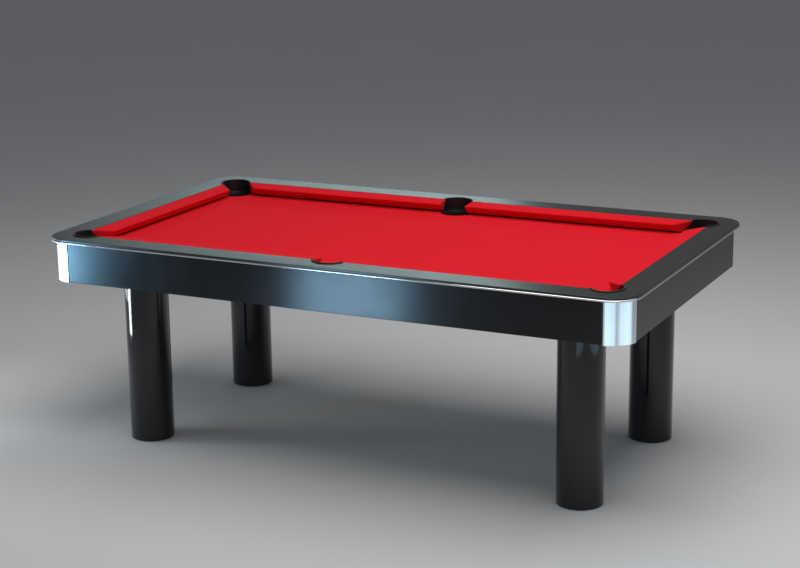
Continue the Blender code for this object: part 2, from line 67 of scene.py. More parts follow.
# Meshes: lines, rings and swept shapes.
def place(side, along, out, height):
    if side == "front":
        return Vector((along, -out, height))
    if side == "back":
        return Vector((along, out, height))
    if side == "left":
        return Vector((-(out + endShift), along, height))
    return Vector((out + endShift, along, height))


def arcPoints(centre, radius, start, end, steps):
    angles = [math.radians(start + (end - start) * step / steps) for step in range(steps + 1)]
    return [Vector((centre[0] + radius * math.cos(a), centre[1] + radius * math.sin(a))) for a in angles]


def softLine(points, steps=4, closed=True):
    # Rounds each (x, y, radius) corner and puts a support point on either side of the rounding.
    result = []
    count = len(points)
    for i, (x, y, radius) in enumerate(points):
        here = Vector((x, y))
        if radius <= 0 or (not closed and i in (0, count - 1)):
            result.append(here)
            continue
        before = Vector(points[i - 1][:2]) - here
        after = Vector(points[(i + 1) % count][:2]) - here
        half = before.angle(after) / 2
        if math.pi / 2 - half < 0.02:
            result.append(here)
            continue
        reach = min(radius / math.tan(half), 0.42 * before.length, 0.42 * after.length)
        radius = reach * math.tan(half)
        middle = here + (before.normalized() + after.normalized()).normalized() * (radius / math.sin(half))
        first = here + before.normalized() * reach - middle
        last = here + after.normalized() * reach - middle
        turn = math.pi - 2 * half
        if first.x * last.y - first.y * last.x < 0:
            turn = -turn
        result.append(here + before.normalized() * reach * 1.12)
        for step in range(steps + 1):
            a = turn * step / steps
            result.append(middle + Vector((first.x * math.cos(a) - first.y * math.sin(a),
                                           first.x * math.sin(a) + first.y * math.cos(a))))
        result.append(here + after.normalized() * reach * 1.12)
    return result


def insetLoop(points, distance, closed=True):
    # The same line moved sideways: inwards for a loop, to the left of its direction for an open line.
    count = len(points)
    area = sum(points[i - 1].x * points[i].y - points[i].x * points[i - 1].y for i in range(count))
    sign = -1 if closed and area < 0 else 1
    moved = []
    for i in range(count):
        here = points[i]
        before = (here - points[i - 1]) if closed or i else (points[1] - here)
        after = (points[(i + 1) % count] - here) if closed or i < count - 1 else (here - points[i - 1])
        first, last = before.normalized(), after.normalized()
        normal = Vector((-first.y - last.y, first.x + last.x))
        normal = normal.normalized() if normal.length > 1e-9 else Vector((-first.y, first.x))
        stretch = 1 / max(0.5, normal.dot(Vector((-first.y, first.x))))
        moved.append(here + normal * distance * sign * stretch)
    return moved


def addRings(bm, rings, loopRings=False, loopProfile=True, capped=False):
    # Quads between neighbouring rings, with a UV map in metres: u along the run, v across it.
    uvLayer = bm.loops.layers.uv.verify()
    rows = [[bm.verts.new(point) for point in ring] for ring in rings]
    count = len(rows[0])
    middles = [sum((Vector(p) for p in ring), Vector()) / count for ring in rings]
    runs = [0.0]
    for here, there in zip(middles, middles[1:]):
        runs.append(runs[-1] + (there - here).length)
    widest = rings[len(rings) // 2]
    across = [0.0]
    for i in range(count):
        across.append(across[-1] + (Vector(widest[(i + 1) % count]) - Vector(widest[i])).length)
    if loopRings and (middles[0] - middles[-1]).length < 1e-6:
        around = [(Vector(a[0]) - Vector(b[0])).length for a, b in zip(rings, rings[1:] + rings[:1])]
        runs = [sum(around[:i]) for i in range(len(rings) + 1)]
    pairs = [(i, i + 1) for i in range(len(rows) - 1)]
    if loopRings:
        pairs.append((len(rows) - 1, 0))
    for i, j in pairs:
        for k in range(count if loopProfile else count - 1):
            n = (k + 1) % count
            face = bm.faces.new((rows[i][k], rows[i][n], rows[j][n], rows[j][k]))
            far = runs[i + 1] if i + 1 < len(runs) else runs[-1] + 0.01
            for loop, uv in zip(face.loops, ((runs[i], across[k]), (runs[i], across[k + 1]),
                                             (far, across[k + 1]), (far, across[k]))):
                loop[uvLayer].uv = uv
    for row in (rows[0], rows[-1]) if capped else ():
        face = bm.faces.new(row)
        for loop in face.loops:
            loop[uvLayer].uv = (loop.vert.co.x + loop.vert.co.y, loop.vert.co.z)
    return rows


def turnedRings(profile, centre, segments):
    rings = []
    for step in range(segments):
        a = 2 * math.pi * step / segments
        rings.append([(centre[0] + r * math.cos(a), centre[1] + r * math.sin(a), z) for r, z in profile])
    return rings


def addTurned(bm, points, centre, segments=64, steps=4, closed=True):
    # A ring from a closed profile, or a solid from an open one whose ends lie on the axis.
    profile = softLine(points, steps, closed)
    if closed:
        addRings(bm, turnedRings(profile, centre, segments), loopRings=True)
        return
    rows = addRings(bm, turnedRings(profile[1:-1], centre, segments), loopRings=True, loopProfile=False)
    for index in (0, -1):
        bm.faces.new([row[index] for row in rows])


def addObject(name, data):
    added = bpy.data.objects.new(name, data)
    bpy.context.scene.collection.objects.link(added)
    return added


def shadeSmooth(mesh, angle):
    mesh.shade_smooth()
    mesh.set_sharp_from_angle(angle=math.radians(angle))


def makePiece(name, bm, material, angle=38, outward=True):
    bmesh.ops.remove_doubles(bm, verts=bm.verts, dist=mergeDistance)
    if outward:
        bmesh.ops.recalc_face_normals(bm, faces=bm.faces)
    mesh = bpy.data.meshes.new(name)
    bm.to_mesh(mesh)
    bm.free()
    shadeSmooth(mesh, angle)
    if material:
        mesh.materials.append(material)
    return addObject(name, mesh)


def weighNormals(piece):
    # Keeps wide flat faces flat where they meet small rounded ones.
    weighted = piece.modifiers.new("weighted", "WEIGHTED_NORMAL")
    weighted.keep_sharp = True
    weighted.weight = 90
    return applyModifiers(piece)


def applyModifiers(piece):
    graph = bpy.context.evaluated_depsgraph_get()
    mesh = bpy.data.meshes.new_from_object(piece.evaluated_get(graph))
    piece.modifiers.clear()
    piece.data = mesh
    return piece


def thicken(piece, thickness):
    solid = piece.modifiers.new("thickness", "SOLIDIFY")
    solid.thickness = thickness
    solid.offset = -1
    return applyModifiers(piece)


def cutWith(piece, cutters):
    for cutter in cutters:
        modifier = piece.modifiers.new("cut", "BOOLEAN")
        modifier.operation = "DIFFERENCE"
        modifier.solver = "EXACT"
        modifier.object = cutter
    applyModifiers(piece)
    for cutter in cutters:
        bpy.data.objects.remove(cutter)


def settle(piece, nodes=(), body="root"):
    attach(piece, body)
    if nodes:
        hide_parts(*nodes)


def softCopy(node, name, width, material, steps=2, angle=30):
    # A merged copy of a CAD node with its arrises rounded.
    bm = bmesh.new()
    bm.from_mesh(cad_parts[node].data)
    bmesh.ops.remove_doubles(bm, verts=bm.verts, dist=1e-5)
    bmesh.ops.dissolve_limit(bm, angle_limit=math.radians(1), verts=bm.verts, edges=bm.edges)
    sharp = [e for e in bm.edges if len(e.link_faces) == 2 and e.calc_face_angle() > math.radians(angle)]
    bmesh.ops.bevel(bm, geom=sharp, offset=width, segments=steps, profile=0.5, affect="EDGES",
                    clamp_overlap=True)
    return weighNormals(makePiece(name, bm, material, outward=False))


# Materials and the groups that they share.
def addNode(tree, kind, inputs=None, **settings):
    node = tree.nodes.new(kind)
    for key, value in settings.items():
        setattr(node, key, value)
    for key, value in (inputs or {}).items():
        if isinstance(value, bpy.types.NodeSocket):
            tree.links.new(value, node.inputs[key])
        else:
            node.inputs[key].default_value = value
    return node


def calculate(tree, operation, *values):
    return addNode(tree, "ShaderNodeMath", dict(enumerate(values)), operation=operation).outputs[0]


def startGroup(name, inputs, outputs):
    tree = bpy.data.node_groups.new(name, "ShaderNodeTree")
    for label, kind, value in inputs:
        socket = tree.interface.new_socket(label, in_out="INPUT", socket_type=kind)
        if value is not None:
            socket.default_value = value
    for label, kind in outputs:
        tree.interface.new_socket(label, in_out="OUTPUT", socket_type=kind)
    return tree, tree.nodes.new("NodeGroupInput"), tree.nodes.new("NodeGroupOutput")


def rampNode(tree, factor, stops):
    node = addNode(tree, "ShaderNodeValToRGB", {"Fac": factor})
    ramp = node.color_ramp
    ramp.elements[0].position, ramp.elements[0].color = stops[0][0], stops[0][1]
    ramp.elements[1].position, ramp.elements[1].color = stops[-1][0], stops[-1][1]
    for position, colour in stops[1:-1]:
        ramp.elements.new(position).color = colour
    return node


def makeMottle():
    # Slow cloudy change between two values, for finish that isn't quite even.
    tree, given, out = startGroup("mottle", [("Vector", "NodeSocketVector", None),
                                             ("Scale", "NodeSocketFloat", 6.0),
                                             ("Low", "NodeSocketFloat", 0.0),
                                             ("High", "NodeSocketFloat", 1.0)],
                                  [("Value", "NodeSocketFloat")])
    noise = addNode(tree, "ShaderNodeTexNoise", {"Vector": given.outputs["Vector"],
                                                 "Scale": given.outputs["Scale"], "Detail": 5.0,
                                                 "Roughness": 0.6, "Distortion": 0.4})
    span = addNode(tree, "ShaderNodeMapRange", {"Value": noise.outputs["Fac"], "From Min": 0.3,
                                                "From Max": 0.7, "To Min": given.outputs["Low"],
                                                "To Max": given.outputs["High"]})
    tree.links.new(span.outputs["Result"], out.inputs["Value"])
    return tree


def makeGrainLines():
    # Fine lines that run along u: brushing, drawn extrusion marks, rubbed laminate.
    tree, given, out = startGroup("grainLines", [("Vector", "NodeSocketVector", None),
                                                 ("Along", "NodeSocketFloat", 3.0),
                                                 ("Across", "NodeSocketFloat", 900.0)],
                                  [("Height", "NodeSocketFloat"), ("Mask", "NodeSocketFloat")])
    stretch = addNode(tree, "ShaderNodeCombineXYZ", {"X": given.outputs["Along"],
                                                     "Y": given.outputs["Across"],
                                                     "Z": given.outputs["Across"]})
    scaled = addNode(tree, "ShaderNodeVectorMath", {0: given.outputs["Vector"], 1: stretch.outputs[0]},
                     operation="MULTIPLY")
    fine = addNode(tree, "ShaderNodeTexNoise", {"Vector": scaled.outputs[0], "Scale": 1.0, "Detail": 3.0,
                                                "Roughness": 0.7})
    broad = addNode(tree, "ShaderNodeTexNoise", {"Vector": scaled.outputs[0], "Scale": 0.13,
                                                 "Detail": 2.0, "Roughness": 0.5})
    mask = addNode(tree, "ShaderNodeMapRange", {"Value": broad.outputs["Fac"], "From Min": 0.35,
                                                "From Max": 0.65})
    tree.links.new(fine.outputs["Fac"], out.inputs["Height"])
    tree.links.new(mask.outputs["Result"], out.inputs["Mask"])
    return tree


def makeDust():
    # Sparse specks and lint.
    tree, given, out = startGroup("dustSpecks", [("Vector", "NodeSocketVector", None),
                                                 ("Scale", "NodeSocketFloat", 240.0),
                                                 ("Amount", "NodeSocketFloat", 0.06)],
                                  [("Mask", "NodeSocketFloat")])
    cells = addNode(tree, "ShaderNodeTexVoronoi", {"Vector": given.outputs["Vector"],
                                                   "Scale": given.outputs["Scale"]})
    speck = addNode(tree, "ShaderNodeMapRange", {"Value": cells.outputs["Distance"], "From Min": 0.0,
                                                 "From Max": given.outputs["Amount"], "To Min": 1.0,
                                                 "To Max": 0.0})
    tree.links.new(speck.outputs["Result"], out.inputs["Mask"])
    return tree


def makeWeave():
    # Two crossing sets of threads under a short raised nap.
    tree, given, out = startGroup("feltWeave", [("Vector", "NodeSocketVector", None),
                                                ("Threads", "NodeSocketFloat", 1500.0),
                                                ("Nap", "NodeSocketFloat", 0.7)],
                                  [("Height", "NodeSocketFloat"), ("Fibre", "NodeSocketFloat")])
    parts = addNode(tree, "ShaderNodeSeparateXYZ", {"Vector": given.outputs["Vector"]})
    threads = given.outputs["Threads"]
    waves = [calculate(tree, "SINE", calculate(tree, "MULTIPLY", parts.outputs[axis], threads))
             for axis in ("X", "Y")]
    woven = calculate(tree, "MULTIPLY", *waves)
    fibre = addNode(tree, "ShaderNodeTexNoise", {"Vector": given.outputs["Vector"], "Scale": 1700.0,
                                                 "Detail": 3.0, "Roughness": 0.75, "Distortion": 1.2})
    felted = addNode(tree, "ShaderNodeTexNoise", {"Vector": given.outputs["Vector"], "Scale": 260.0,
                                                  "Detail": 4.0, "Roughness": 0.65})
    nap = calculate(tree, "ADD", fibre.outputs["Fac"], felted.outputs["Fac"])
    height = addNode(tree, "ShaderNodeMix", {"Factor": given.outputs["Nap"]}, data_type="FLOAT")
    tree.links.new(woven, height.inputs[2])
    tree.links.new(nap, height.inputs[3])
    tree.links.new(height.outputs[0], out.inputs["Height"])
    tree.links.new(felted.outputs["Fac"], out.inputs["Fibre"])
    return tree


def makeTimber():
    # Growth rings with fine pores, running along one axis of the vector.
    tree, given, out = startGroup("timberGrain", [("Vector", "NodeSocketVector", None),
                                                  ("Ring Spacing", "NodeSocketFloat", 26.0)],
                                  [("Ring", "NodeSocketFloat"), ("Pore", "NodeSocketFloat")])
    squash = addNode(tree, "ShaderNodeVectorMath", {0: given.outputs["Vector"], 1: (0.12, 1.0, 1.0)},
                     operation="MULTIPLY")
    wander = addNode(tree, "ShaderNodeTexNoise", {"Vector": squash.outputs[0], "Scale": 9.0, "Detail": 3.0})
    shifted = addNode(tree, "ShaderNodeVectorMath", {0: squash.outputs[0], 1: wander.outputs["Color"]},
                      operation="ADD")
    rings = addNode(tree, "ShaderNodeTexWave", {"Vector": shifted.outputs[0],
                                                "Scale": given.outputs["Ring Spacing"],
                                                "Distortion": 2.5, "Detail": 2.0},
                    wave_type="RINGS", rings_direction="X")
    streak = addNode(tree, "ShaderNodeVectorMath", {0: given.outputs["Vector"], 1: (12.0, 900.0, 900.0)},
                     operation="MULTIPLY")
    pores = addNode(tree, "ShaderNodeTexNoise", {"Vector": streak.outputs[0], "Scale": 1.0, "Detail": 2.0})
    tree.links.new(rings.outputs["Fac"], out.inputs["Ring"])
    tree.links.new(pores.outputs["Fac"], out.inputs["Pore"])
    return tree


groups = {"mottle": makeMottle(), "lines": makeGrainLines(), "dust": makeDust(), "weave": makeWeave(),
          "timber": makeTimber()}


def useGroup(tree, key, vector, **values):
    node = addNode(tree, "ShaderNodeGroup", node_tree=groups[key])
    tree.links.new(vector, node.inputs["Vector"])
    for label, value in values.items():
        node.inputs[label.replace("_", " ")].default_value = value
    return node


def startMaterial(name, mapped="Object"):
    material = bpy.data.materials.new(name)
    material.use_nodes = True
    tree = material.node_tree
    shader = tree.nodes["Principled BSDF"]
    where = addNode(tree, "ShaderNodeTexCoord").outputs[mapped]
    return material, tree, shader, where


def setBump(tree, shader, height, strength, distance):
    bump = addNode(tree, "ShaderNodeBump", {"Height": height, "Strength": strength, "Distance": distance})
    tree.links.new(bump.outputs["Normal"], shader.inputs["Normal"])


def setValues(shader, values):
    for label, value in values.items():
        shader.inputs[label].default_value = value


def cloudyRoughness(tree, shader, where, scale, low, high):
    cloud = useGroup(tree, "mottle", where, Scale=scale, Low=low, High=high)
    tree.links.new(cloud.outputs["Value"], shader.inputs["Roughness"])


def mixColour(tree, factor, first, second):
    node = addNode(tree, "ShaderNodeMix", data_type="RGBA")
    for index, value in ((0, factor), (6, first), (7, second)):
        if isinstance(value, bpy.types.NodeSocket):
            tree.links.new(value, node.inputs[index])
        else:
            node.inputs[index].default_value = value
    return node.outputs[2]


clothFinish = {"colour": (0.80, 0.0100, 0.0215, 1), "shade": (0.69, 0.0082, 0.0175, 1), "sheen": 0.10,
               "threads": 1500.0}


def makeCloth():
    material, tree, shader, where = startMaterial("redPoolCloth")
    weave = useGroup(tree, "weave", where, Threads=clothFinish["threads"], Nap=0.7)
    cloud = useGroup(tree, "mottle", where, Scale=3.5, Low=0.0, High=0.35)
    tint = mixColour(tree, cloud.outputs["Value"], clothFinish["colour"], clothFinish["shade"])
    tree.links.new(mixColour(tree, weave.outputs["Fibre"], tint, clothFinish["shade"]),
                   shader.inputs["Base Color"])
    setValues(shader, {"Roughness": 0.92, "Sheen Weight": clothFinish["sheen"], "Sheen Roughness": 0.45,
                       "Sheen Tint": (1.0, 0.25, 0.22, 1), "Specular IOR Level": 0.08})
    setBump(tree, shader, weave.outputs["Height"], 0.35, 0.0004)
    return material


def makeLaminate():
    material, tree, shader, where = startMaterial("satinBlackLaminate", "UV")
    lines = useGroup(tree, "lines", where, Along=14.0, Across=700.0)
    smudge = useGroup(tree, "mottle", where, Scale=5.0, Low=0.27, High=0.31)
    dust = useGroup(tree, "dust", where, Scale=160.0, Amount=0.05)
    tree.links.new(mixColour(tree, lines.outputs["Mask"], (0.0125, 0.0140, 0.0145, 1),
                             (0.0150, 0.0168, 0.0172, 1)), shader.inputs["Base Color"])
    dusty = calculate(tree, "MULTIPLY", dust.outputs["Mask"], 0.2)
    tree.links.new(calculate(tree, "ADD", smudge.outputs["Value"], dusty), shader.inputs["Roughness"])
    setBump(tree, shader, lines.outputs["Height"], 0.04, 0.0002)
    return material


def makeLacquer(name, low, high, level, coat, peelStrength):
    material, tree, shader, where = startMaterial(name)
    peel = addNode(tree, "ShaderNodeTexNoise", {"Vector": where, "Scale": 190.0, "Detail": 2.0})
    cloudyRoughness(tree, shader, where, 7.0, low, high)
    cloud = useGroup(tree, "mottle", where, Scale=2.5, Low=0.0, High=1.0)
    tree.links.new(mixColour(tree, cloud.outputs["Value"], (0.0060, 0.0066, 0.0080, 1),
                             (0.0075, 0.0082, 0.0098, 1)), shader.inputs["Base Color"])
    setValues(shader, {"Specular IOR Level": level, "Coat Weight": coat, "Coat Roughness": 0.04})
    setBump(tree, shader, peel.outputs["Fac"], peelStrength, 0.0004)
    return material


def makeMetal(name, colour, low, high, along, across, strength, mapped="UV"):
    material, tree, shader, where = startMaterial(name, mapped)
    lines = useGroup(tree, "lines", where, Along=along, Across=across)
    smudge = useGroup(tree, "mottle", where, Scale=18.0, Low=low, High=high)
    streak = calculate(tree, "MULTIPLY", lines.outputs["Mask"], 0.06)
    tree.links.new(calculate(tree, "ADD", smudge.outputs["Value"], streak), shader.inputs["Roughness"])
    darker = tuple(c * 0.93 for c in colour[:3]) + (1,)
    tree.links.new(mixColour(tree, lines.outputs["Mask"], colour, darker), shader.inputs["Base Color"])
    setValues(shader, {"Metallic": 1.0})
    setBump(tree, shader, lines.outputs["Height"], strength, 0.0001)
    return material


def makeMoulded(name, colour, low, high, cell, strength):
    material, tree, shader, where = startMaterial(name)
    pebble = addNode(tree, "ShaderNodeTexVoronoi", {"Vector": where, "Scale": cell}, feature="SMOOTH_F1")
    fine = addNode(tree, "ShaderNodeTexNoise", {"Vector": where, "Scale": cell * 2.3, "Detail": 2.0})
    height = calculate(tree, "ADD", pebble.outputs["Distance"], fine.outputs["Fac"])
    cloudyRoughness(tree, shader, where, 12.0, low, high)
    lighter = tuple(c * 1.3 for c in colour[:3]) + (1,)
    tree.links.new(mixColour(tree, pebble.outputs["Distance"], colour, lighter), shader.inputs["Base Color"])
    setBump(tree, shader, height, strength, 0.0003)
    return material


def makeSlate():
    material, tree, shader, where = startMaterial("greySlate")
    layers = addNode(tree, "ShaderNodeMapping", {"Vector": where, "Scale": (1.0, 1.0, 24.0)})
    veins = addNode(tree, "ShaderNodeTexNoise", {"Vector": layers.outputs[0], "Scale": 14.0, "Detail": 8.0,
                                                 "Roughness": 0.65, "Distortion": 0.8})
    tone = rampNode(tree, veins.outputs["Fac"], [(0.30, (0.072, 0.078, 0.086, 1)),
                                                 (0.55, (0.120, 0.128, 0.136, 1)),
                                                 (0.75, (0.175, 0.182, 0.188, 1))])
    tree.links.new(tone.outputs["Color"], shader.inputs["Base Color"])
    setValues(shader, {"Roughness": 0.78})
    setBump(tree, shader, veins.outputs["Fac"], 0.4, 0.0008)
    return material


def makeWood(name, turn, shade=(1.0, 1.0, 1.0)):
    material, tree, shader, where = startMaterial(name)
    lying = addNode(tree, "ShaderNodeMapping", {"Vector": where, "Rotation": (0, 0, turn)})
    grain = useGroup(tree, "timber", lying.outputs[0], Ring_Spacing=22.0)

    def tinted(*colour):
        return tuple(c * s for c, s in zip(colour, shade)) + (1,)

    tone = rampNode(tree, grain.outputs["Ring"], [(0.0, tinted(0.50, 0.335, 0.185)),
                                                  (0.6, tinted(0.43, 0.27, 0.14)),
                                                  (1.0, tinted(0.30, 0.17, 0.085))])
    tree.links.new(mixColour(tree, grain.outputs["Pore"], tone.outputs["Color"], tinted(0.36, 0.23, 0.12)),
                   shader.inputs["Base Color"])
    cloudyRoughness(tree, shader, where, 20.0, 0.55, 0.72)
    setBump(tree, shader, grain.outputs["Pore"], 0.25, 0.0006)
    return material


def makeRubber():
    material, tree, shader, where = startMaterial("gumRubber")
    speck = addNode(tree, "ShaderNodeTexNoise", {"Vector": where, "Scale": 420.0, "Detail": 4.0})
    tree.links.new(mixColour(tree, speck.outputs["Fac"], (0.36, 0.22, 0.14, 1), (0.25, 0.15, 0.10, 1)),
                   shader.inputs["Base Color"])
    cloudyRoughness(tree, shader, where, 30.0, 0.7, 0.85)
    setBump(tree, shader, speck.outputs["Fac"], 0.3, 0.0004)
    return material


# Painted shade: a near-black tint for the sub-rail timber, standing in for the shade in the pocket mouths.
pocketShadeTint = (0.035, 0.05, 0.09)
finish = {
    "cloth": makeCloth(),
    "laminate": makeLaminate(),
    "satin": makeLacquer("satinBlackLacquer", low=0.20, high=0.25, level=0.34, coat=0.0, peelStrength=0.05),
    "gloss": makeLacquer("glossBlackLacquer", low=0.05, high=0.09, level=0.32, coat=0.40, peelStrength=0.01),
    "trim": makeMetal("polishedTrim", (0.90, 0.885, 0.87, 1), low=0.09, high=0.15, along=2.0, across=1400.0,
                      strength=0.05),
    "cap": makeMetal("polishedAluminiumCap", (0.86, 0.89, 0.92, 1), low=0.16, high=0.22, along=3.0,
                     across=900.0, strength=0.10),
    "pocket": makeMoulded("pocketBlackRubber", (0.007, 0.007, 0.008, 1), low=0.42, high=0.55, cell=520.0,
                          strength=0.25),
    "slate": makeSlate(),
    "rubber": makeRubber(),
    "woodX": makeWood("beamTimberLong", 0.0),
    "woodY": makeWood("beamTimberCross", math.pi / 2),
    # Sub-rail timber darkened to near black: painted shade for the pocket mouths.
    "paintedShadeX": makeWood("paintedShadeRailTimberLong", 0.0, pocketShadeTint),
    "paintedShadeY": makeWood("paintedShadeRailTimberCross", math.pi / 2, pocketShadeTint),
    "zinc": makeMetal("zincPlatedSteel", (0.60, 0.61, 0.63, 1), low=0.28, high=0.42, along=60.0, across=400.0,
                      strength=0.10, mapped="Object"),
    "base": makeMoulded("baseBlackNylon", (0.016, 0.016, 0.018, 1), low=0.45, high=0.60, cell=900.0,
                        strength=0.20),
}
print("materials made:", len(finish))

# Sizes that the cloth, the rails and the liners share at each pocket.
cornerPocket = {"radius": 0.0550, "back": 0.0300, "shelf": 0.0140, "noseCut": 0.0720, "edgeCut": 0.0800}
sidePocket = {"radius": 0.0597, "back": 0.0195, "shelf": 0.0035, "noseCut": 0.0540, "edgeCut": 0.0580}
liner = {"wall": 0.0035, "overhang": 0.0025, "rimHeight": 0.0032, "bottom": 0.690, "growth": 0.001,
         "clothDrop": 0.013}


def pocketList():
    found = []
    for name, (sx, sy) in legSigns.items():
        out = railEdge - cornerPocket["back"]
        found.append((name, Vector((sx * (out + endShift), sy * out)), Vector((sx, sy)).normalized(),
                      cornerPocket))
    for name, sy in (("front_middle", -1), ("back_middle", 1)):
        found.append((name, Vector((0, sy * (railEdge - sidePocket["back"]))), Vector((0, sy)), sidePocket))
    return found


def slotLine(centre, direction, shelf, radius, steps):
    heading = math.degrees(math.atan2(direction.y, direction.x))
    outer = arcPoints(centre, radius, heading - 90, heading + 90, steps)
    inner = arcPoints(centre - direction * shelf, radius, heading + 90, heading + 270, steps)
    return outer + inner


# The cloth over the slate.
bedCloth = {"rolled": 0.0028, "sideDrop": 0.014, "thickness": 0.0009, "turnDown": 0.020}


def bedOutline():
    # Anticlockwise walk round the slate's plan with its six cut-outs.
    x, y = slateHigh.x, slateHigh.y
    outline = []
    walk = ("front_left", "front_middle", "front_right", "back_right", "back_middle", "back_left")
    found = {name: (centre, direction, pocket) for name, centre, direction, pocket in pocketList()}
    for name in walk:
        centre, direction, pocket = found[name]
        radius = pocket["radius"] + liner["wall"] + liner["growth"] + 2 * gap
        inner = centre - direction * pocket["shelf"]
        across = Vector((-direction.y, direction.x))
        ends = []
        for sign in (-1, 1):
            start = inner + across * radius * sign
            reach = min(((x - abs(start.x)) / abs(direction.x)) if abs(direction.x) > 0.1 else math.inf,
                        ((y - abs(start.y)) / abs(direction.y)) if abs(direction.y) > 0.1 else math.inf)
            ends.append(start + direction * reach)
        heading = math.degrees(math.atan2(direction.y, direction.x))
        arc = arcPoints(inner, radius, heading + 90, heading + 270, 40)
        outline += [ends[0]] + arc[::-1] + [ends[1]]
    return outline


def buildBedCloth():
    outline = bedOutline()
    bm = bmesh.new()
    rings = []
    rolled = bedCloth["rolled"]
    levels = [(rolled * 1.6, 0.0), (rolled, 0.0)]
    for step in range(1, 6):
        a = math.radians(90 * step / 5)
        levels.append((rolled * (1 - math.sin(a)), -rolled * (1 - math.cos(a))))
    levels += [(0.0, -rolled - 0.003), (0.0, -bedCloth["sideDrop"])]
    outer = insetLoop(outline, -bedCloth["thickness"] - 0.0001)
    for inward, drop in levels:
        rings.append([(p.x, p.y, bedTop + drop) for p in insetLoop(outer, inward)])
    bm.faces.new(addRings(bm, rings)[0])
    bmesh.ops.recalc_face_normals(bm, faces=bm.faces)
    top = max(bm.faces, key=lambda face: face.calc_area())
    if top.normal.z < 0:
        bmesh.ops.reverse_faces(bm, faces=bm.faces)
    area = sum(face.calc_area() for face in bm.faces)
    piece = makePiece("bedCloth", bm, finish["cloth"], outward=False)
    thicken(piece, bedCloth["thickness"])
    settle(piece, ["bed_cloth"])


slate = softCopy("bed_slate", "bedSlate", 0.0012, finish["slate"])
settle(slate, ["bed_slate"])
buildBedCloth()
print("bed done")

# Rail tops and the timber that the cushions are glued to.
rail = {"arris": 0.0016, "mitreChamfer": 0.0003, "cornerSteps": 18, "lipBack": 0.003, "flangeRoom": 0.0033,
        "subrail": 0.033, "subrailInset": 0.0013, "subrailDrop": 0.0050, "subrailSlope": 0.0016}
trim = {"middle": railTop - 0.0115, "halfHeight": 0.0045, "depth": 0.0067, "joint": 0.0002,
        "cornerSteps": 40, "roundSteps": 14}  # the rail's lip leaves room for it


def railSection():
    lip = halfWidth - rail["lipBack"]
    trimBack = halfWidth - trim["depth"] - gap
    trimTop = trim["middle"] + trim["halfHeight"] + gap
    body = -apronHigh.y - rail["flangeRoom"]
    bottom = bedTop + gap
    under = apronHigh.z + gap
    return softLine([(railEdge, bottom, 0.0006), (body, bottom, 0.0006), (body, under, 0),
                     (trimBack, under, 0.0006), (trimBack, trimTop, 0.0), (lip, trimTop, 0.0006),
                     (lip, railTop, rail["arris"]), (railEdge, railTop, 0.0007)], steps=5)


def railPiece(side, cutters):
    reach = cornerCentre + (endShift if side in ("front", "back") else 0.0)
    section = railSection()
    chamfered = insetLoop(section, rail["mitreChamfer"])
    stepAngle = math.radians(45) / rail["cornerSteps"]
    rings = []
    for end, order in ((-1, range(rail["cornerSteps"], -1, -1)), (1, range(rail["cornerSteps"] + 1))):
        for step in order:
            a = math.radians(45) * step / rail["cornerSteps"]
            last = step == rail["cornerSteps"]
            for shape, back in (((chamfered, gap / 2), (section, gap / 2 + rail["mitreChamfer"]))
                                [::1 if end < 0 else -1] if last else ((section, 0.0),)):
                ring = []
                for point in shape:
                    radius = point.x - cornerCentre
                    along = end * (reach + radius * math.sin(a))
                    out = cornerCentre + radius * math.cos(a)
                    if back:  # less near the corner centre, so that the rings don't cross
                        shift = back * min(1.0, radius * stepAngle * 0.6 / (gap / 2 + rail["mitreChamfer"]))
                        along -= end * shift * math.cos(a)
                        out += shift * math.sin(a)
                    ring.append(place(side, along, out, point.y))
                rings.append(ring)
    bm = bmesh.new()
    addRings(bm, rings, capped=True)
    piece = makePiece("railTop_" + side, bm, finish["laminate"])
    bm = bmesh.new()
    bm.from_mesh(piece.data)
    bmesh.ops.triangulate(bm, faces=bm.faces)
    bm.to_mesh(piece.data)
    bm.free()
    cutWith(piece, cutters)
    piece.data.set_sharp_from_angle(angle=math.radians(38))
    return weighNormals(piece)


def facingLine(pocket, reach, sign, inset):
    if pocket is sidePocket:
        start, end = pocket["noseCut"], pocket["edgeCut"]
    else:
        start, end = reach - pocket["noseCut"], reach + railEdge - noseOut - pocket["edgeCut"]
    slope = (end - start) / (railEdge - noseOut)
    away = inset * math.hypot(1, slope) * (1 if pocket is sidePocket else -1)
    return lambda out, pulled=0.0: sign * (start + slope * (out - noseOut) + away
                                           + pulled * math.hypot(1, slope)
                                           * (1 if pocket is sidePocket else -1))


def cushionRuns():
    longEnd, shortEnd = noseOut + endShift, noseOut
    runs = []
    for side in ("front", "back"):
        runs.append((side + "_left", side, (cornerPocket, longEnd, -1), (sidePocket, 0, -1)))
        runs.append((side + "_right", side, (sidePocket, 0, 1), (cornerPocket, longEnd, 1)))
    for side in ("left", "right"):
        runs.append((side, side, (cornerPocket, shortEnd, -1), (cornerPocket, shortEnd, 1)))
    return runs


def throatCutter(centre, pocket, index):
    bm = bmesh.new()
    radius = pocket["radius"] + liner["wall"] + 2 * gap
    rings = [[(p.x, p.y, z) for p in arcPoints(centre, radius, 0, 356.25, 95)]
             for z in (bedTop - 0.03, railTop + 0.02)]
    addRings(bm, rings, capped=True)
    return makePiece("throatCutter" + str(index), bm, None)


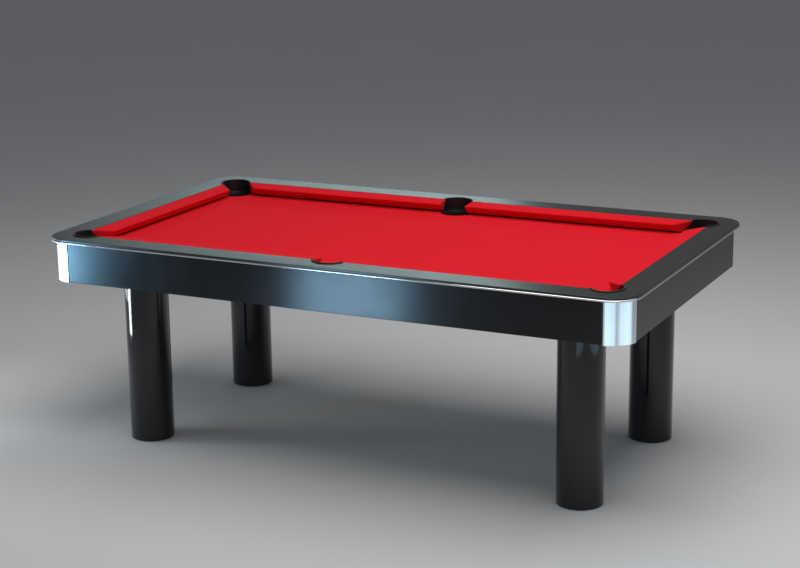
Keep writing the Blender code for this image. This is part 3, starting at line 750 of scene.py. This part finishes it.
def subrailPiece(name, side, start, end):
    # The wooden part of the rail that the cushion is glued to, tinted near black as painted shade so that the
    # pocket mouths look dark.
    first, last = facingLine(*start, rail["subrailInset"]), facingLine(*end, rail["subrailInset"])
    face = railEdge - rail["subrail"]
    high = railTop - rail["subrailDrop"]
    section = softLine([(face, bedTop + gap, 0.0005), (railEdge - gap, bedTop + gap, 0.0005),
                        (railEdge - gap, high, 0.0005), (face, high - rail["subrailSlope"], 0.0005)], 2)
    bm = bmesh.new()
    addRings(bm, [[place(side, cut(p.x), p.x, p.y) for p in section] for cut in (first, last)], capped=True)
    return makePiece("subrail_" + name, bm, finish["paintedShadeX" if side in ("front", "back") else "paintedShadeY"])


def buildRails():
    near = {"front": ("front_left", "front_right", "front_middle"),
            "back": ("back_left", "back_right", "back_middle"),
            "left": ("front_left", "back_left"), "right": ("front_right", "back_right")}
    pockets = {name: (centre, pocket) for name, centre, _, pocket in pocketList()}
    for side in sides:
        cutters = [throatCutter(*pockets[name], i) for i, name in enumerate(near[side])]
        piece = railPiece(side, cutters)
        settle(piece, ["rail_" + side])
    for name, side, start, end in cushionRuns():
        settle(subrailPiece(name, side, start, end))


buildRails()
print("rails done")

# Cushions: rubber under cloth.
cushion = {"endRound": 0.0050, "steps": 6, "thickness": 0.0009, "crown": 0.0003, "clothStrip": 0.127,
           "clothSpare": 0.05, "rubberInset": 0.0012, "rubberEndInset": 0.0013, "rubberEndRound": 0.0032}


def cushionLine():
    # Outside of the cloth, from the feather groove over the nose and back under to the sub-rail.
    edge = railEdge - gap
    z = noseHeight
    points = [(edge, railTop - 0.0046, 0), (edge - 0.0001, railTop - 0.0006, 0.0012),
              (edge - 0.030, railTop - 0.0034 + cushion["crown"], 0.05),
              (noseOut + 0.0026, z + 0.0009, 0.0026), (noseOut, z - 0.0018, 0.0016),
              (noseOut + 0.0030, z - 0.0052, 0.006), (noseOut + 0.0222, bedTop + 0.0080, 0.004),
              (railEdge - rail["subrail"] - gap, bedTop + 0.0036, 0.001),
              (railEdge - rail["subrail"] + 0.004, bedTop + 0.0012, 0)]
    return softLine(points, steps=5, closed=False)


def drawnIn(line, distance):
    # Moves a section towards the middle of the cushion, less so near the rail.
    near = Vector((noseOut + 0.011, noseHeight - 0.0040))
    far = Vector((railEdge - 0.006, noseHeight - 0.0110))
    moved = []
    for p in line:
        share = max(0.0, min(1.0, (p - near).dot(far - near) / (far - near).length_squared))
        core = near.lerp(far, share)
        weight = 0.15 + 0.85 * min(1.0, max(0.0, (railEdge - p.x) / 0.030))
        reach = (core - p).length
        moved.append(p.lerp(core, min(0.8, distance * weight / max(reach, 1e-6))))
    return moved


def cushionRings(side, start, end, line, inset, roundness):
    first, last = facingLine(*start, inset), facingLine(*end, inset)
    rings = []
    steps = cushion["steps"]

    def ring(cut, shape, pulled):
        return [place(side, cut(p.x, pulled), p.x, p.y) for p in shape]

    for step in range(steps, -1, -1):
        a = math.radians(90) * step / steps
        shape = drawnIn(line, roundness * (1 - math.cos(a)))
        rings.append(ring(first, shape, roundness * (1 - math.sin(a))))
    for share in (0.01, 0.25, 0.5, 0.75, 0.99):
        rings.append([place(side, first(p.x, roundness) * (1 - share) + last(p.x, roundness) * share,
                            p.x, p.y) for p in line])
    for step in range(steps + 1):
        a = math.radians(90) * step / steps
        shape = drawnIn(line, roundness * (1 - math.cos(a)))
        rings.append(ring(last, shape, roundness * (1 - math.sin(a))))
    return rings


def buildCushions():
    line = cushionLine()
    for name, side, start, end in cushionRuns():
        bm = bmesh.new()
        rows = addRings(bm, cushionRings(side, start, end, line, 0.0, cushion["endRound"]),
                        loopProfile=False)
        for row in (rows[0], rows[-1]):
            bm.faces.new(row)
        bmesh.ops.recalc_face_normals(bm, faces=bm.faces)
        top = [f for f in bm.faces if abs(f.normal.z) > 0.95 and f.calc_center_median().z > noseHeight]
        if sum(f.normal.z * f.calc_area() for f in top) < 0:
            bmesh.ops.reverse_faces(bm, faces=bm.faces)
        area = sum(face.calc_area() for face in bm.faces)
        piece = makePiece("cushionCloth_" + name, bm, finish["cloth"], outward=False, angle=60)
        thicken(piece, cushion["thickness"])
        settle(piece, ["cushion_cloth_" + name])


def buildRubbers():
    face = railEdge - rail["subrail"] - gap
    outer = cushionLine()
    inner = [p for p in insetLoop(outer, cushion["rubberInset"], closed=False) if p.x < face - 0.0004]
    top, low = inner[0].y, inner[-1].y
    line = [Vector((face, top + 0.0002))] + inner + [Vector((face, low + 0.0006))]
    for name, side, start, end in cushionRuns():
        bm = bmesh.new()
        rings = cushionRings(side, start, end, line, cushion["rubberEndInset"], cushion["rubberEndRound"])
        addRings(bm, rings, capped=True)
        piece = makePiece("cushionRubber_" + name, bm, finish["rubber"], angle=50)
        settle(piece, ["cushion_rubber_" + name])


buildRubbers()
buildCushions()
print("cushions done")


def linerWall(bm, centre, direction, pocket):
    # The throat wall with its raised rim, swept round the back of the pocket and tapered at its ends.
    inner = pocket["radius"]
    outer = inner + liner["wall"]
    low = railTop + gap
    high = low + liner["rimHeight"]
    foot = slateHigh.z + 0.0002
    edge = outer + liner["overhang"]
    profile = softLine([(inner, foot, 0), (outer, foot, 0), (outer, low, 0), (edge, low, 0.0003),
                        (edge - 0.0001, high - 0.0006, 0.0010), (edge - 0.0028, high, 0.0016),
                        (inner + 0.0006, high - 0.0003, 0.0012), (inner, high - 0.0022, 0.0012)], 4)
    heading = math.atan2(direction.y, direction.x)
    if pocket is cornerPocket:
        reach = math.pi - math.radians(45) - math.asin(pocket["back"] / outer)
    else:
        reach = math.acos(pocket["back"] / outer)
    steps = 72
    rings = []
    for step in range(-steps // 2, steps // 2 + 1):
        a = heading + reach * 2 * step / steps
        rings.append([(centre.x + p.x * math.cos(a), centre.y + p.x * math.sin(a), p.y) for p in profile])
    middle = Vector((outer - 0.0015, (low + high) / 2))
    for index, way in ((0, -1), (-1, 1)):
        base = heading + way * reach
        extra = []
        for step in range(1, 5):
            t = math.radians(90) * step / 5
            a = base + way * 0.0030 * math.sin(t) / outer
            shrink = math.cos(t)
            ring = []
            for p in profile:
                q = Vector((p.x, p.y))
                if p.y >= low - 1e-6:
                    q = Vector((middle.x + (p.x - middle.x) * shrink, low + (p.y - low) * shrink))
                ring.append((centre.x + q.x * math.cos(a), centre.y + q.x * math.sin(a), q.y))
            extra.append(ring)
        if index == 0:
            rings = extra[::-1] + rings
        else:
            rings += extra
    addRings(bm, rings, capped=True)


def linerBucket(bm, centre, direction, pocket):
    # The tub under the bed; its front is lower, where the bed cloth turns down into it.
    growth, wall = liner["growth"], liner["wall"]
    outer = pocket["radius"] + wall + growth
    bottom = liner["bottom"]
    steps = 32

    def ring(radius, height, dip=0.0):
        points = slotLine(centre, direction, pocket["shelf"], radius, steps)
        result = []
        for p in points:
            forward = (p - centre).dot(direction) / radius
            share = min(1.0, max(0.0, (-forward + 0.15) / 0.25)) if pocket is cornerPocket else \
                min(1.0, max(0.0, (-forward + 0.30) / 0.25))
            result.append((p.x, p.y, height - dip * share * share * (3 - 2 * share)))
        return result

    dip = liner["clothDrop"] + 0.003
    top = slateHigh.z
    rings = [ring(outer - 0.012, bottom), ring(outer - 0.006, bottom), ring(outer - 0.0022, bottom + 0.0016),
             ring(outer - 0.0006, bottom + 0.0045), ring(outer, bottom + 0.009), ring(outer, bottom + 0.03),
             ring(outer, slateLow.z - 0.0012), ring(outer, slateLow.z + 0.0005),
             ring(outer, top - 0.0006, dip), ring(outer - 0.0006, top, dip),
             ring(outer - wall + 0.0006, top, dip), ring(outer - wall, top - 0.0006, dip),
             ring(outer - wall, slateLow.z, 0.0), ring(outer - wall, bottom + 0.012),
             ring(outer - wall - 0.0015, bottom + 0.0065), ring(outer - wall - 0.005, bottom + 0.0038),
             ring(outer - wall - 0.012, bottom + 0.003)]
    addRings(bm, rings, capped=True)


def buildLiners():
    for name, centre, direction, pocket in pocketList():
        bm = bmesh.new()
        linerWall(bm, centre, direction, pocket)
        linerBucket(bm, centre, direction, pocket)
        piece = makePiece("pocketLiner_" + name, bm, finish["pocket"], angle=50)
        settle(piece, ["pocket_" + name])


buildLiners()
print("pocket liners done")


def inputKey(tree, label):
    return next(item.identifier for item in tree.interface.items_tree
                if item.item_type == "SOCKET" and item.in_out == "INPUT" and item.name == label)


def startGeometry(name, inputs):
    tree = bpy.data.node_groups.new(name, "GeometryNodeTree")
    tree.interface.new_socket("Geometry", in_out="INPUT", socket_type="NodeSocketGeometry")
    tree.interface.new_socket("Geometry", in_out="OUTPUT", socket_type="NodeSocketGeometry")
    for label, kind, value in inputs:
        socket = tree.interface.new_socket(label, in_out="INPUT", socket_type=kind)
        if value is not None:
            socket.default_value = value
    return tree, tree.nodes.new("NodeGroupInput"), tree.nodes.new("NodeGroupOutput")


def finishGeometry(tree, given, out, geometry):
    whole = addNode(tree, "GeometryNodeRealizeInstances", {"Geometry": geometry})
    coated = addNode(tree, "GeometryNodeSetMaterial", {"Geometry": whole.outputs[0],
                                                       "Material": given.outputs["Material"]})
    tree.links.new(coated.outputs[0], out.inputs[0])


def runGeometry(piece, tree, values):
    modifier = piece.modifiers.new(tree.name, "NODES")
    modifier.node_group = tree
    for label, value in values.items():
        modifier[inputKey(tree, label)] = value
    applyModifiers(piece)


def makeBeadTree():
    # Sweeps a half-round bead, flat at the back, along the edge path that it is given.
    tree, given, out = startGeometry("beadAlongPath", [("Depth", "NodeSocketFloat", 0.006),
                                                       ("Half Height", "NodeSocketFloat", 0.004),
                                                       ("Round Steps", "NodeSocketInt", 14),
                                                       ("Material", "NodeSocketMaterial", None)])
    path = addNode(tree, "GeometryNodeMeshToCurve", {"Mesh": given.outputs["Geometry"]})
    upright = addNode(tree, "GeometryNodeSetCurveNormal", {"Curve": path.outputs[0]}, mode="Z_UP")
    circle = addNode(tree, "GeometryNodeCurveArc", {"Resolution": given.outputs["Round Steps"],
                                                    "Radius": 1.0, "Start Angle": -math.pi / 2,
                                                    "Sweep Angle": math.pi, "Connect Center": False})
    closedLine = addNode(tree, "GeometryNodeSetSplineCyclic", {"Geometry": circle.outputs["Curve"],
                                                               "Cyclic": True})
    size = addNode(tree, "ShaderNodeCombineXYZ", {"X": given.outputs["Depth"],
                                                  "Y": given.outputs["Half Height"], "Z": 1.0})
    shaped = addNode(tree, "GeometryNodeTransform", {"Geometry": closedLine.outputs[0],
                                                     "Scale": size.outputs[0]})
    sweep = addNode(tree, "GeometryNodeCurveToMesh", {"Curve": upright.outputs[0],
                                                      "Profile Curve": shaped.outputs[0],
                                                      "Fill Caps": True})
    finishGeometry(tree, given, out, sweep.outputs[0])
    return tree


def orient(piece):
    bm = bmesh.new()
    bm.from_mesh(piece.data)
    bmesh.ops.remove_doubles(bm, verts=bm.verts, dist=mergeDistance)
    bmesh.ops.recalc_face_normals(bm, faces=bm.faces)
    bm.to_mesh(piece.data)
    bm.free()


def buildTrim():
    tree = makeBeadTree()
    centreX = cornerCentre + endShift
    radius = halfWidth - cornerCentre - trim["depth"]
    for name, sign in (("trim_left_half", -1), ("trim_right_half", 1)):
        points = [(trim["joint"], -cornerCentre - radius)]
        points += [(x, -cornerCentre - radius) for x in (0.25, 0.5, 0.75)]
        points += [(p.x, p.y) for p in arcPoints((centreX, -cornerCentre), radius, -90, 0,
                                                 trim["cornerSteps"])]
        points += [(p.x, p.y) for p in arcPoints((centreX, cornerCentre), radius, 0, 90,
                                                 trim["cornerSteps"])]
        points += [(x, cornerCentre + radius) for x in (0.75, 0.5, 0.25)]
        points.append((trim["joint"], cornerCentre + radius))
        if sign < 0:
            points = points[::-1]
        mesh = bpy.data.meshes.new(name)
        mesh.from_pydata([(sign * x, y, trim["middle"]) for x, y in points],
                         [(i, i + 1) for i in range(len(points) - 1)], [])
        piece = addObject("trimBead_" + name.split("_")[1], mesh)
        runGeometry(piece, tree, {"Depth": trim["depth"], "Half Height": trim["halfHeight"],
                                  "Round Steps": trim["roundSteps"], "Material": finish["trim"]})
        orient(piece)
        shadeSmooth(piece.data, 50)
        settle(piece, [name])


apron = {"arris": 0.0018, "groove": 0.0045, "thickness": 0.018, "endArris": 0.0007}


def buildAprons():
    face = -apronLow.y
    back = face - apron["thickness"]
    section = softLine([(back, apronLow.z, 0.0010), (face, apronLow.z, apron["arris"]),
                        (face, apronHigh.z, 0.0010), (back, apronHigh.z, 0.0010)], 5)
    ended = insetLoop(section, apron["endArris"])
    for side in sides:
        reach = cornerCentre + (endShift if side in ("front", "back") else 0.0) - apron["groove"]
        rings = []
        for along, shape in ((-reach, ended), (-reach + apron["endArris"], section),
                             (-reach + 0.004, section), (0.0, section), (reach - 0.004, section),
                             (reach - apron["endArris"], section), (reach, ended)):
            rings.append([place(side, along, p.x, p.y) for p in shape])
        bm = bmesh.new()
        addRings(bm, rings, capped=True)
        piece = weighNormals(makePiece("apronPanel_" + side, bm, finish["satin"], angle=30))
        settle(piece, ["apron_" + side])


cap = {"wall": 0.004, "flange": 0.022, "flangeThickness": 0.003, "arris": 0.0005, "arcSteps": 44}


def buildCaps():
    outer = -apronLow.y - cornerCentre
    step = outer - apron["thickness"] - gap
    back = step - cap["flangeThickness"]
    wall, flange = cap["wall"], cap["flange"]
    corners = [(-flange, step, 0.0008), (-flange, back, 0.0008), (wall, back, 0.0015)]
    inner = arcPoints((0, 0), outer - wall, 90 - 3.2, 3.2, 28)
    mirrored = [(back, wall, 0.0015), (back, -flange, 0.0008), (step, -flange, 0.0008), (step, 0.0, 0.0008)]
    outline = arcPoints((0, 0), outer, 0.7, 89.3, cap["arcSteps"])
    bottom, top = capLow.z, capHigh.z
    rest = softLine([(0.0, outer, 0.0008), (0.0, step, 0.0008)] + corners, 3, closed=False)
    other = softLine(mirrored + [(outer, 0.0, 0.0008)], 3, closed=False)
    plan = outline + rest + inner + other
    for name, (sx, sy) in legSigns.items():
        rings = []
        for z, inward in ((bottom, cap["arris"]), (bottom + cap["arris"] * 0.3, cap["arris"] * 0.3),
                          (bottom + cap["arris"], 0.0), (bottom + 0.003, 0.0), (top - 0.003, 0.0),
                          (top - cap["arris"], 0.0), (top, cap["arris"])):
            loop = insetLoop(plan, inward)
            rings.append([(sx * (cornerCentre + endShift + p.x), sy * (cornerCentre + p.y), z)
                          for p in loop])
        bm = bmesh.new()
        addRings(bm, rings, capped=True)
        piece = makePiece("cornerCap_" + name, bm, finish["cap"], angle=30)
        settle(piece, ["corner_cap_" + name])


buildTrim()
buildAprons()
buildCaps()
print("trim, aprons and caps done")


def buildFrame():
    for name in ("beam_front", "beam_back"):
        settle(softCopy(name, "longBeam_" + name[5:], 0.0020, finish["woodX"]), [name])
    for name in ("left", "middle", "right"):
        node = "cross_beam_" + name
        settle(softCopy(node, "crossBeam_" + name, 0.0020, finish["woodY"]), [node])


buildFrame()

# Legs and levelling feet.
leg = {"radius": 0.0838, "wall": 0.006, "bottomRound": 0.0018, "segments": 128, "baseHeight": 0.045,
       "recessHeight": 0.0225, "recessRadius": 0.032}
foot = {"padRadius": 0.026, "pitch": 0.00175, "stem": 0.006, "depth": 0.0008, "spigot": 0.0045,
        "socketFloor": 0.0042, "hexRadius": 0.0098, "hexLow": 0.0095, "hexHigh": 0.0165, "hexChamfer": 0.0007}


def addThread(bm, centre, low, high, segments=28, rows=5):
    # A helical thread between two heights, closed at both ends.
    turns = (high - low) / foot["pitch"]
    count = int(turns * rows)
    rings = []
    for k in range(count + 1):
        z = low + (high - low) * k / count
        ends = min(1.0, min(k, count - k) / rows)
        ring = []
        for s in range(segments):
            phase = (k / rows - s / segments) % 1.0
            crest = abs(phase * 2 - 1)
            radius = foot["stem"] - foot["depth"] * (1 - crest * ends)
            a = 2 * math.pi * s / segments
            ring.append((centre[0] + radius * math.cos(a), centre[1] + radius * math.sin(a), z))
        rings.append(ring)
    addRings(bm, rings, capped=True)


def buildLeg(name, centre):
    low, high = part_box("leg_tube_" + name)
    outer, inner = leg["radius"], leg["radius"] - leg["wall"]
    bm = bmesh.new()
    addTurned(bm, [(inner, low.z, 0.0004), (outer, low.z, leg["bottomRound"]), (outer, high.z, 0.0008),
                   (inner, high.z, 0.0004)], centre, leg["segments"], 5)
    piece = makePiece("legTube_" + name, bm, finish["gloss"])
    settle(piece, ["leg_tube_" + name])

    plate = softCopy("leg_top_plate_" + name, "legPlate_" + name, 0.0010, finish["zinc"])
    settle(plate, ["leg_top_plate_" + name])

    bore = foot["stem"] + gap
    outside = inner - gap
    recess, ceiling, top = leg["recessRadius"], leg["recessHeight"], leg["baseHeight"]
    bm = bmesh.new()
    addTurned(bm, [(bore, ceiling, 0.0003), (recess, ceiling, 0.002), (recess, 0.0, 0.0012),
                   (outside, 0.0, 0.0015), (outside, top, 0.001), (bore, top, 0.0008)], centre, 96, 4)
    piece = makePiece("legBase_" + name, bm, finish["base"])
    settle(piece, ["leg_base_" + name])


def buildFoot(name, centre):
    body = "foot_" + name
    low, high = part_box("leveller_pad_" + name)
    bm = bmesh.new()
    socket, floor = foot["spigot"] + gap, foot["socketFloor"]
    radius = foot["padRadius"]
    addTurned(bm, [(0, low.z, 0), (radius, low.z, 0.0008), (radius, low.z + 0.0040, 0.0012),
                   (0.0118, high.z - 0.0008, 0.002), (0.0108, high.z, 0.0005), (socket, high.z, 0.0003),
                   (socket, floor, 0.0003), (0, floor, 0)], centre, 72, 4, closed=False)
    piece = makePiece("levellerPad_" + name, bm, finish["base"])
    settle(piece, ["leveller_pad_" + name], body)

    screwLow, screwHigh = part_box("leveller_screw_" + name)
    bm = bmesh.new()
    spigot, low, high, chamfer = foot["spigot"], foot["hexLow"], foot["hexHigh"], foot["hexChamfer"]
    overlap = 0.0001  # each length of the screw runs this far into the next
    addTurned(bm, [(0, screwLow.z, 0), (spigot, screwLow.z, 0.0006), (spigot, low + overlap, 0),
                   (0, low + overlap, 0)], centre, 32, 3, closed=False)
    hexagon = arcPoints(centre, foot["hexRadius"], 0, 300, 5)
    rings = []
    for z, inward in ((low, 0.0008), (low + chamfer, 0.0), (high - chamfer, 0.0), (high, 0.0008)):
        rings.append([(p.x, p.y, z) for p in insetLoop(hexagon, inward)])
    addRings(bm, rings, capped=True)
    addThread(bm, centre, high - overlap, screwHigh.z)
    piece = makePiece("levellerScrew_" + name, bm, finish["zinc"], angle=30)
    settle(piece, ["leveller_screw_" + name], "screw_" + name)


for legName in legSigns:
    tubeLow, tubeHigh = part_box("leg_tube_" + legName)
    legMiddle = ((tubeLow.x + tubeHigh.x) / 2, (tubeLow.y + tubeHigh.y) / 2)
    buildLeg(legName, legMiddle)
    buildFoot(legName, legMiddle)
print("legs done")

# Small fixings, all seen only from below or behind.
fixing = {"boltHead": 0.0065, "boltHeight": 0.0050, "washer": 0.0105, "washerHeight": 0.0016,
          "screwHead": 0.0048, "screwHeight": 0.0016, "staple": 0.0110, "wire": 0.0005, "pitch": 0.045,
          "longBolts": (0.20, 0.45, 0.70), "longBoltsOut": 0.590, "shortBolts": (-0.25, 0.0, 0.25),
          "shortBoltsOut": 1.088, "screwShares": (-0.85, -0.30, 0.30, 0.85), "screwSpread": 0.028}
stapled = {"longReach": 0.88, "shortReach": 0.42, "pocketRoom": 0.10}


def makeFixingTree():
    # A washer and a head with a chamfered end hang down from each point.
    tree, given, out = startGeometry("headsOnPoints", [("Sides", "NodeSocketInt", 6),
                                                       ("Head Radius", "NodeSocketFloat", 0.006),
                                                       ("Head Height", "NodeSocketFloat", 0.005),
                                                       ("Washer Radius", "NodeSocketFloat", 0.01),
                                                       ("Washer Height", "NodeSocketFloat", 0.0016),
                                                       ("Material", "NodeSocketMaterial", None)])

    def times(socket, factor):
        return calculate(tree, "MULTIPLY", socket, factor)

    def lowered(mesh, drop):
        shift = addNode(tree, "ShaderNodeCombineXYZ", {"Z": times(drop, -1.0)})
        return addNode(tree, "GeometryNodeTransform", {"Geometry": mesh,
                                                       "Translation": shift.outputs[0]}).outputs[0]

    headHeight, washerHeight = given.outputs["Head Height"], given.outputs["Washer Height"]
    washer = addNode(tree, "GeometryNodeMeshCylinder", {"Vertices": 24, "Depth": washerHeight,
                                                        "Radius": given.outputs["Washer Radius"]})
    body = addNode(tree, "GeometryNodeMeshCylinder", {"Vertices": given.outputs["Sides"],
                                                      "Radius": given.outputs["Head Radius"],
                                                      "Depth": times(headHeight, 0.8)})
    crown = addNode(tree, "GeometryNodeMeshCone", {"Vertices": given.outputs["Sides"],
                                                   "Radius Bottom": times(given.outputs["Head Radius"], 0.82),
                                                   "Radius Top": times(given.outputs["Head Radius"], 0.99),
                                                   "Depth": times(headHeight, 0.2)})
    join = addNode(tree, "GeometryNodeJoinGeometry")
    for mesh in (lowered(washer.outputs["Mesh"], times(washerHeight, 0.5)),
                 lowered(body.outputs["Mesh"], calculate(tree, "ADD", washerHeight, times(headHeight, 0.4))),
                 lowered(crown.outputs["Mesh"], calculate(tree, "ADD", washerHeight, headHeight))):
        tree.links.new(mesh, join.inputs[0])
    placed = addNode(tree, "GeometryNodeInstanceOnPoints", {"Points": given.outputs["Geometry"],
                                                            "Instance": join.outputs[0]})
    finishGeometry(tree, given, out, placed.outputs[0])
    return tree


def makeStapleTree():
    # A flat wire bow at each point, turned about the upright by the point's "turn" value.
    tree, given, out = startGeometry("staplesOnPoints", [("Width", "NodeSocketFloat", 0.011),
                                                         ("Wire", "NodeSocketFloat", 0.0005),
                                                         ("Material", "NodeSocketMaterial", None)])
    bow = addNode(tree, "GeometryNodeCurvePrimitiveQuadrilateral", {"Width": given.outputs["Width"],
                                                                    "Height": 0.0024})
    rounded = addNode(tree, "GeometryNodeFilletCurve", {"Curve": bow.outputs[0], "Radius": 0.0008},
                      mode="POLY")
    wire = addNode(tree, "GeometryNodeCurvePrimitiveCircle", {"Resolution": 6,
                                                              "Radius": given.outputs["Wire"]})
    swept = addNode(tree, "GeometryNodeCurveToMesh", {"Curve": rounded.outputs[0],
                                                      "Profile Curve": wire.outputs[0]})
    turn = addNode(tree, "GeometryNodeInputNamedAttribute", {"Name": "turn"}, data_type="FLOAT")
    spun = addNode(tree, "ShaderNodeCombineXYZ", {"Z": turn.outputs["Attribute"]})
    placed = addNode(tree, "GeometryNodeInstanceOnPoints", {"Points": given.outputs["Geometry"],
                                                            "Instance": swept.outputs[0],
                                                            "Rotation": spun.outputs[0]})
    finishGeometry(tree, given, out, placed.outputs[0])
    return tree


def pointPiece(name, points, turns=None):
    mesh = bpy.data.meshes.new(name)
    mesh.from_pydata(points, [], [])
    if turns:
        turn = mesh.attributes.new("turn", "FLOAT", "POINT")
        for item, value in zip(turn.data, turns):
            item.value = value
    return addObject(name, mesh)


def finishFixing(piece, tree, values):
    runGeometry(piece, tree, values)
    orient(piece)
    shadeSmooth(piece.data, 35)
    settle(piece)


def buildFixings():
    heads = makeFixingTree()
    under = slateLow.z - gap
    signs = (-1, 1)
    bolts = [(sx * x, sy * fixing["longBoltsOut"], under) for sx in signs for sy in signs
             for x in fixing["longBolts"]]
    bolts += [(sx * fixing["shortBoltsOut"], y, under) for sx in signs for y in fixing["shortBolts"]]
    finishFixing(pointPiece("railBolts", bolts), heads,
                 {"Sides": 6, "Head Radius": fixing["boltHead"], "Head Height": fixing["boltHeight"],
                  "Washer Radius": fixing["washer"], "Washer Height": fixing["washerHeight"],
                  "Material": finish["zinc"]})
    screws = []
    for name in ("left", "middle", "right"):
        low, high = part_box("cross_beam_" + name)
        middle = (low.x + high.x) / 2
        screws += [(middle + sx * fixing["screwSpread"], high.y * share, low.z - gap) for sx in signs
                   for share in fixing["screwShares"]]
    finishFixing(pointPiece("frameScrews", screws), heads,
                 {"Sides": 20, "Head Radius": fixing["screwHead"], "Head Height": fixing["screwHeight"],
                  "Washer Radius": fixing["screwHead"] * 1.25, "Washer Height": 0.0005,
                  "Material": finish["zinc"]})
    places, turns = [], []
    height = slateHigh.z - bedCloth["sideDrop"] * 0.62
    for axis, reach, edge in ((0, stapled["longReach"], slateHigh.y),
                              (1, stapled["shortReach"], slateHigh.x)):
        count = int(2 * reach / fixing["pitch"])
        for step in range(count + 1):
            along = -reach + 2 * reach * step / count
            if axis == 0 and abs(along) < stapled["pocketRoom"]:
                continue
            for sign in signs:
                out = sign * (edge + bedCloth["thickness"] - 0.0004)
                places.append((along, out, height) if axis == 0 else (out, along, height))
                turns.append(0.0 if axis == 0 else math.pi / 2)
    finishFixing(pointPiece("clothStaples", places, turns), makeStapleTree(),
                 {"Width": fixing["staple"], "Wire": fixing["wire"], "Material": finish["zinc"]})


buildFixings()
print("fixings done")

# Floor, lights and camera.
studio = {"floor": (0.70, 0.70, 0.705, 1), "floorHalf": 60.0, "world": (0.66, 0.68, 0.72, 1),
          "worldStrength": 0.22}
view = {"place": (3.0012, -6.0969, 2.3469), "yaw": 0.4564, "pitch": 0.2505, "roll": -0.0125, "lens": 83.0,
        "sensor": 36.0}
panels = {  # place, aimed at, size, power, colour, spread in degrees
    "overhead": ((0.9, -0.2, 3.8), (0.8, -0.2, 0), (4.6, 3.4), 120, (1.0, 0.985, 0.97), 180),
    "rearPanel": ((-4.0, 6.0, 2.35), (-3.6, 0.0, 2.2), (3.9, 1.0), 12, (0.72, 0.97, 0.98), 70),
    "lowFarLeft": ((-1.951, -1.65, 0.433), (-1.185, -0.645, 0.73), (0.30, 0.34), 2.0, (0.30, 0.67, 1.0), 70),
    "lowNearLeft": ((-0.398, -1.65, 0.433), (0.128, -0.645, 0.73), (0.41, 0.34), 1.0, (0.40, 0.72, 1.0), 70),
    "lowRight": ((1.34, -1.62, 0.43), (1.34, -0.6, 0.60), (1.02, 0.42), 0.75, (0.55, 0.82, 1.0), 130),
    "sideRight": ((2.10, -0.80, 0.43), (1.1, -0.74, 0.60), (1.50, 0.42), 1.05, (0.55, 0.82, 1.0), 130),
    "sideLeft": ((-2.30, -0.85, 0.42), (-1.1, -0.70, 0.55), (1.90, 0.46), 4.2, (0.93, 0.97, 1.0), 130),
    "legStrip": ((-1.97, -0.86, 0.31), (-0.95, -0.4, 0.36), (0.36, 0.40), 1.2, (0.88, 0.95, 1.0), 56),
}


def makeFloor():
    mesh = bpy.data.meshes.new("studioFloor")
    size = studio["floorHalf"]
    mesh.from_pydata([(-size, -size, 0), (size, -size, 0), (size, size, 0), (-size, size, 0)], [],
                     [(0, 1, 2, 3)])
    floor = addObject("studioFloor", mesh)
    material, tree, shader, where = startMaterial("paleFloor")
    cloud = useGroup(tree, "mottle", where, Scale=1.2, Low=0.0, High=1.0)
    tree.links.new(mixColour(tree, cloud.outputs["Value"], studio["floor"],
                             tuple(c * 0.98 for c in studio["floor"][:3]) + (1,)),
                   shader.inputs["Base Color"])
    setValues(shader, {"Roughness": 0.85, "Specular IOR Level": 0.2})
    mesh.materials.append(material)


def addPanel(name, location, target, size, power, colour, spread):
    data = bpy.data.lights.new(name, "AREA")
    data.shape = "RECTANGLE"
    data.size, data.size_y = size
    data.energy = power
    data.color = colour
    data.spread = math.radians(spread)
    lamp = addObject(name, data)
    lamp.location = location
    lamp.rotation_euler = (Vector(target) - Vector(location)).to_track_quat("-Z", "Y").to_euler()
    lamp.visible_camera = False


def makeLights():
    world = bpy.data.worlds.new("studioWorld")
    bpy.context.scene.world = world
    world.use_nodes = True
    backdrop = world.node_tree.nodes["Background"]
    backdrop.inputs["Color"].default_value = studio["world"]
    backdrop.inputs["Strength"].default_value = studio["worldStrength"]
    for name, values in panels.items():
        addPanel(name, *values)


def makeCamera():
    data = bpy.data.cameras.new("camera")
    data.sensor_width = view["sensor"]
    data.lens = view["lens"]
    data.clip_end = 200.0
    camera = addObject("camera", data)
    yaw, pitch, roll = view["yaw"], view["pitch"], view["roll"]
    forward = Vector((-math.sin(yaw) * math.cos(pitch), math.cos(yaw) * math.cos(pitch), -math.sin(pitch)))
    level = forward.cross(Vector((0, 0, 1))).normalized()
    upward = level.cross(forward)
    right = level * math.cos(roll) + upward * math.sin(roll)
    above = -level * math.sin(roll) + upward * math.cos(roll)
    turn = Matrix((right, above, -forward)).transposed().to_4x4()
    turn.translation = Vector(view["place"])
    camera.matrix_world = turn
    bpy.context.scene.camera = camera


makeFloor()
makeLights()
makeCamera()
bpy.context.scene.view_settings.view_transform = "Standard"
print("studio done")
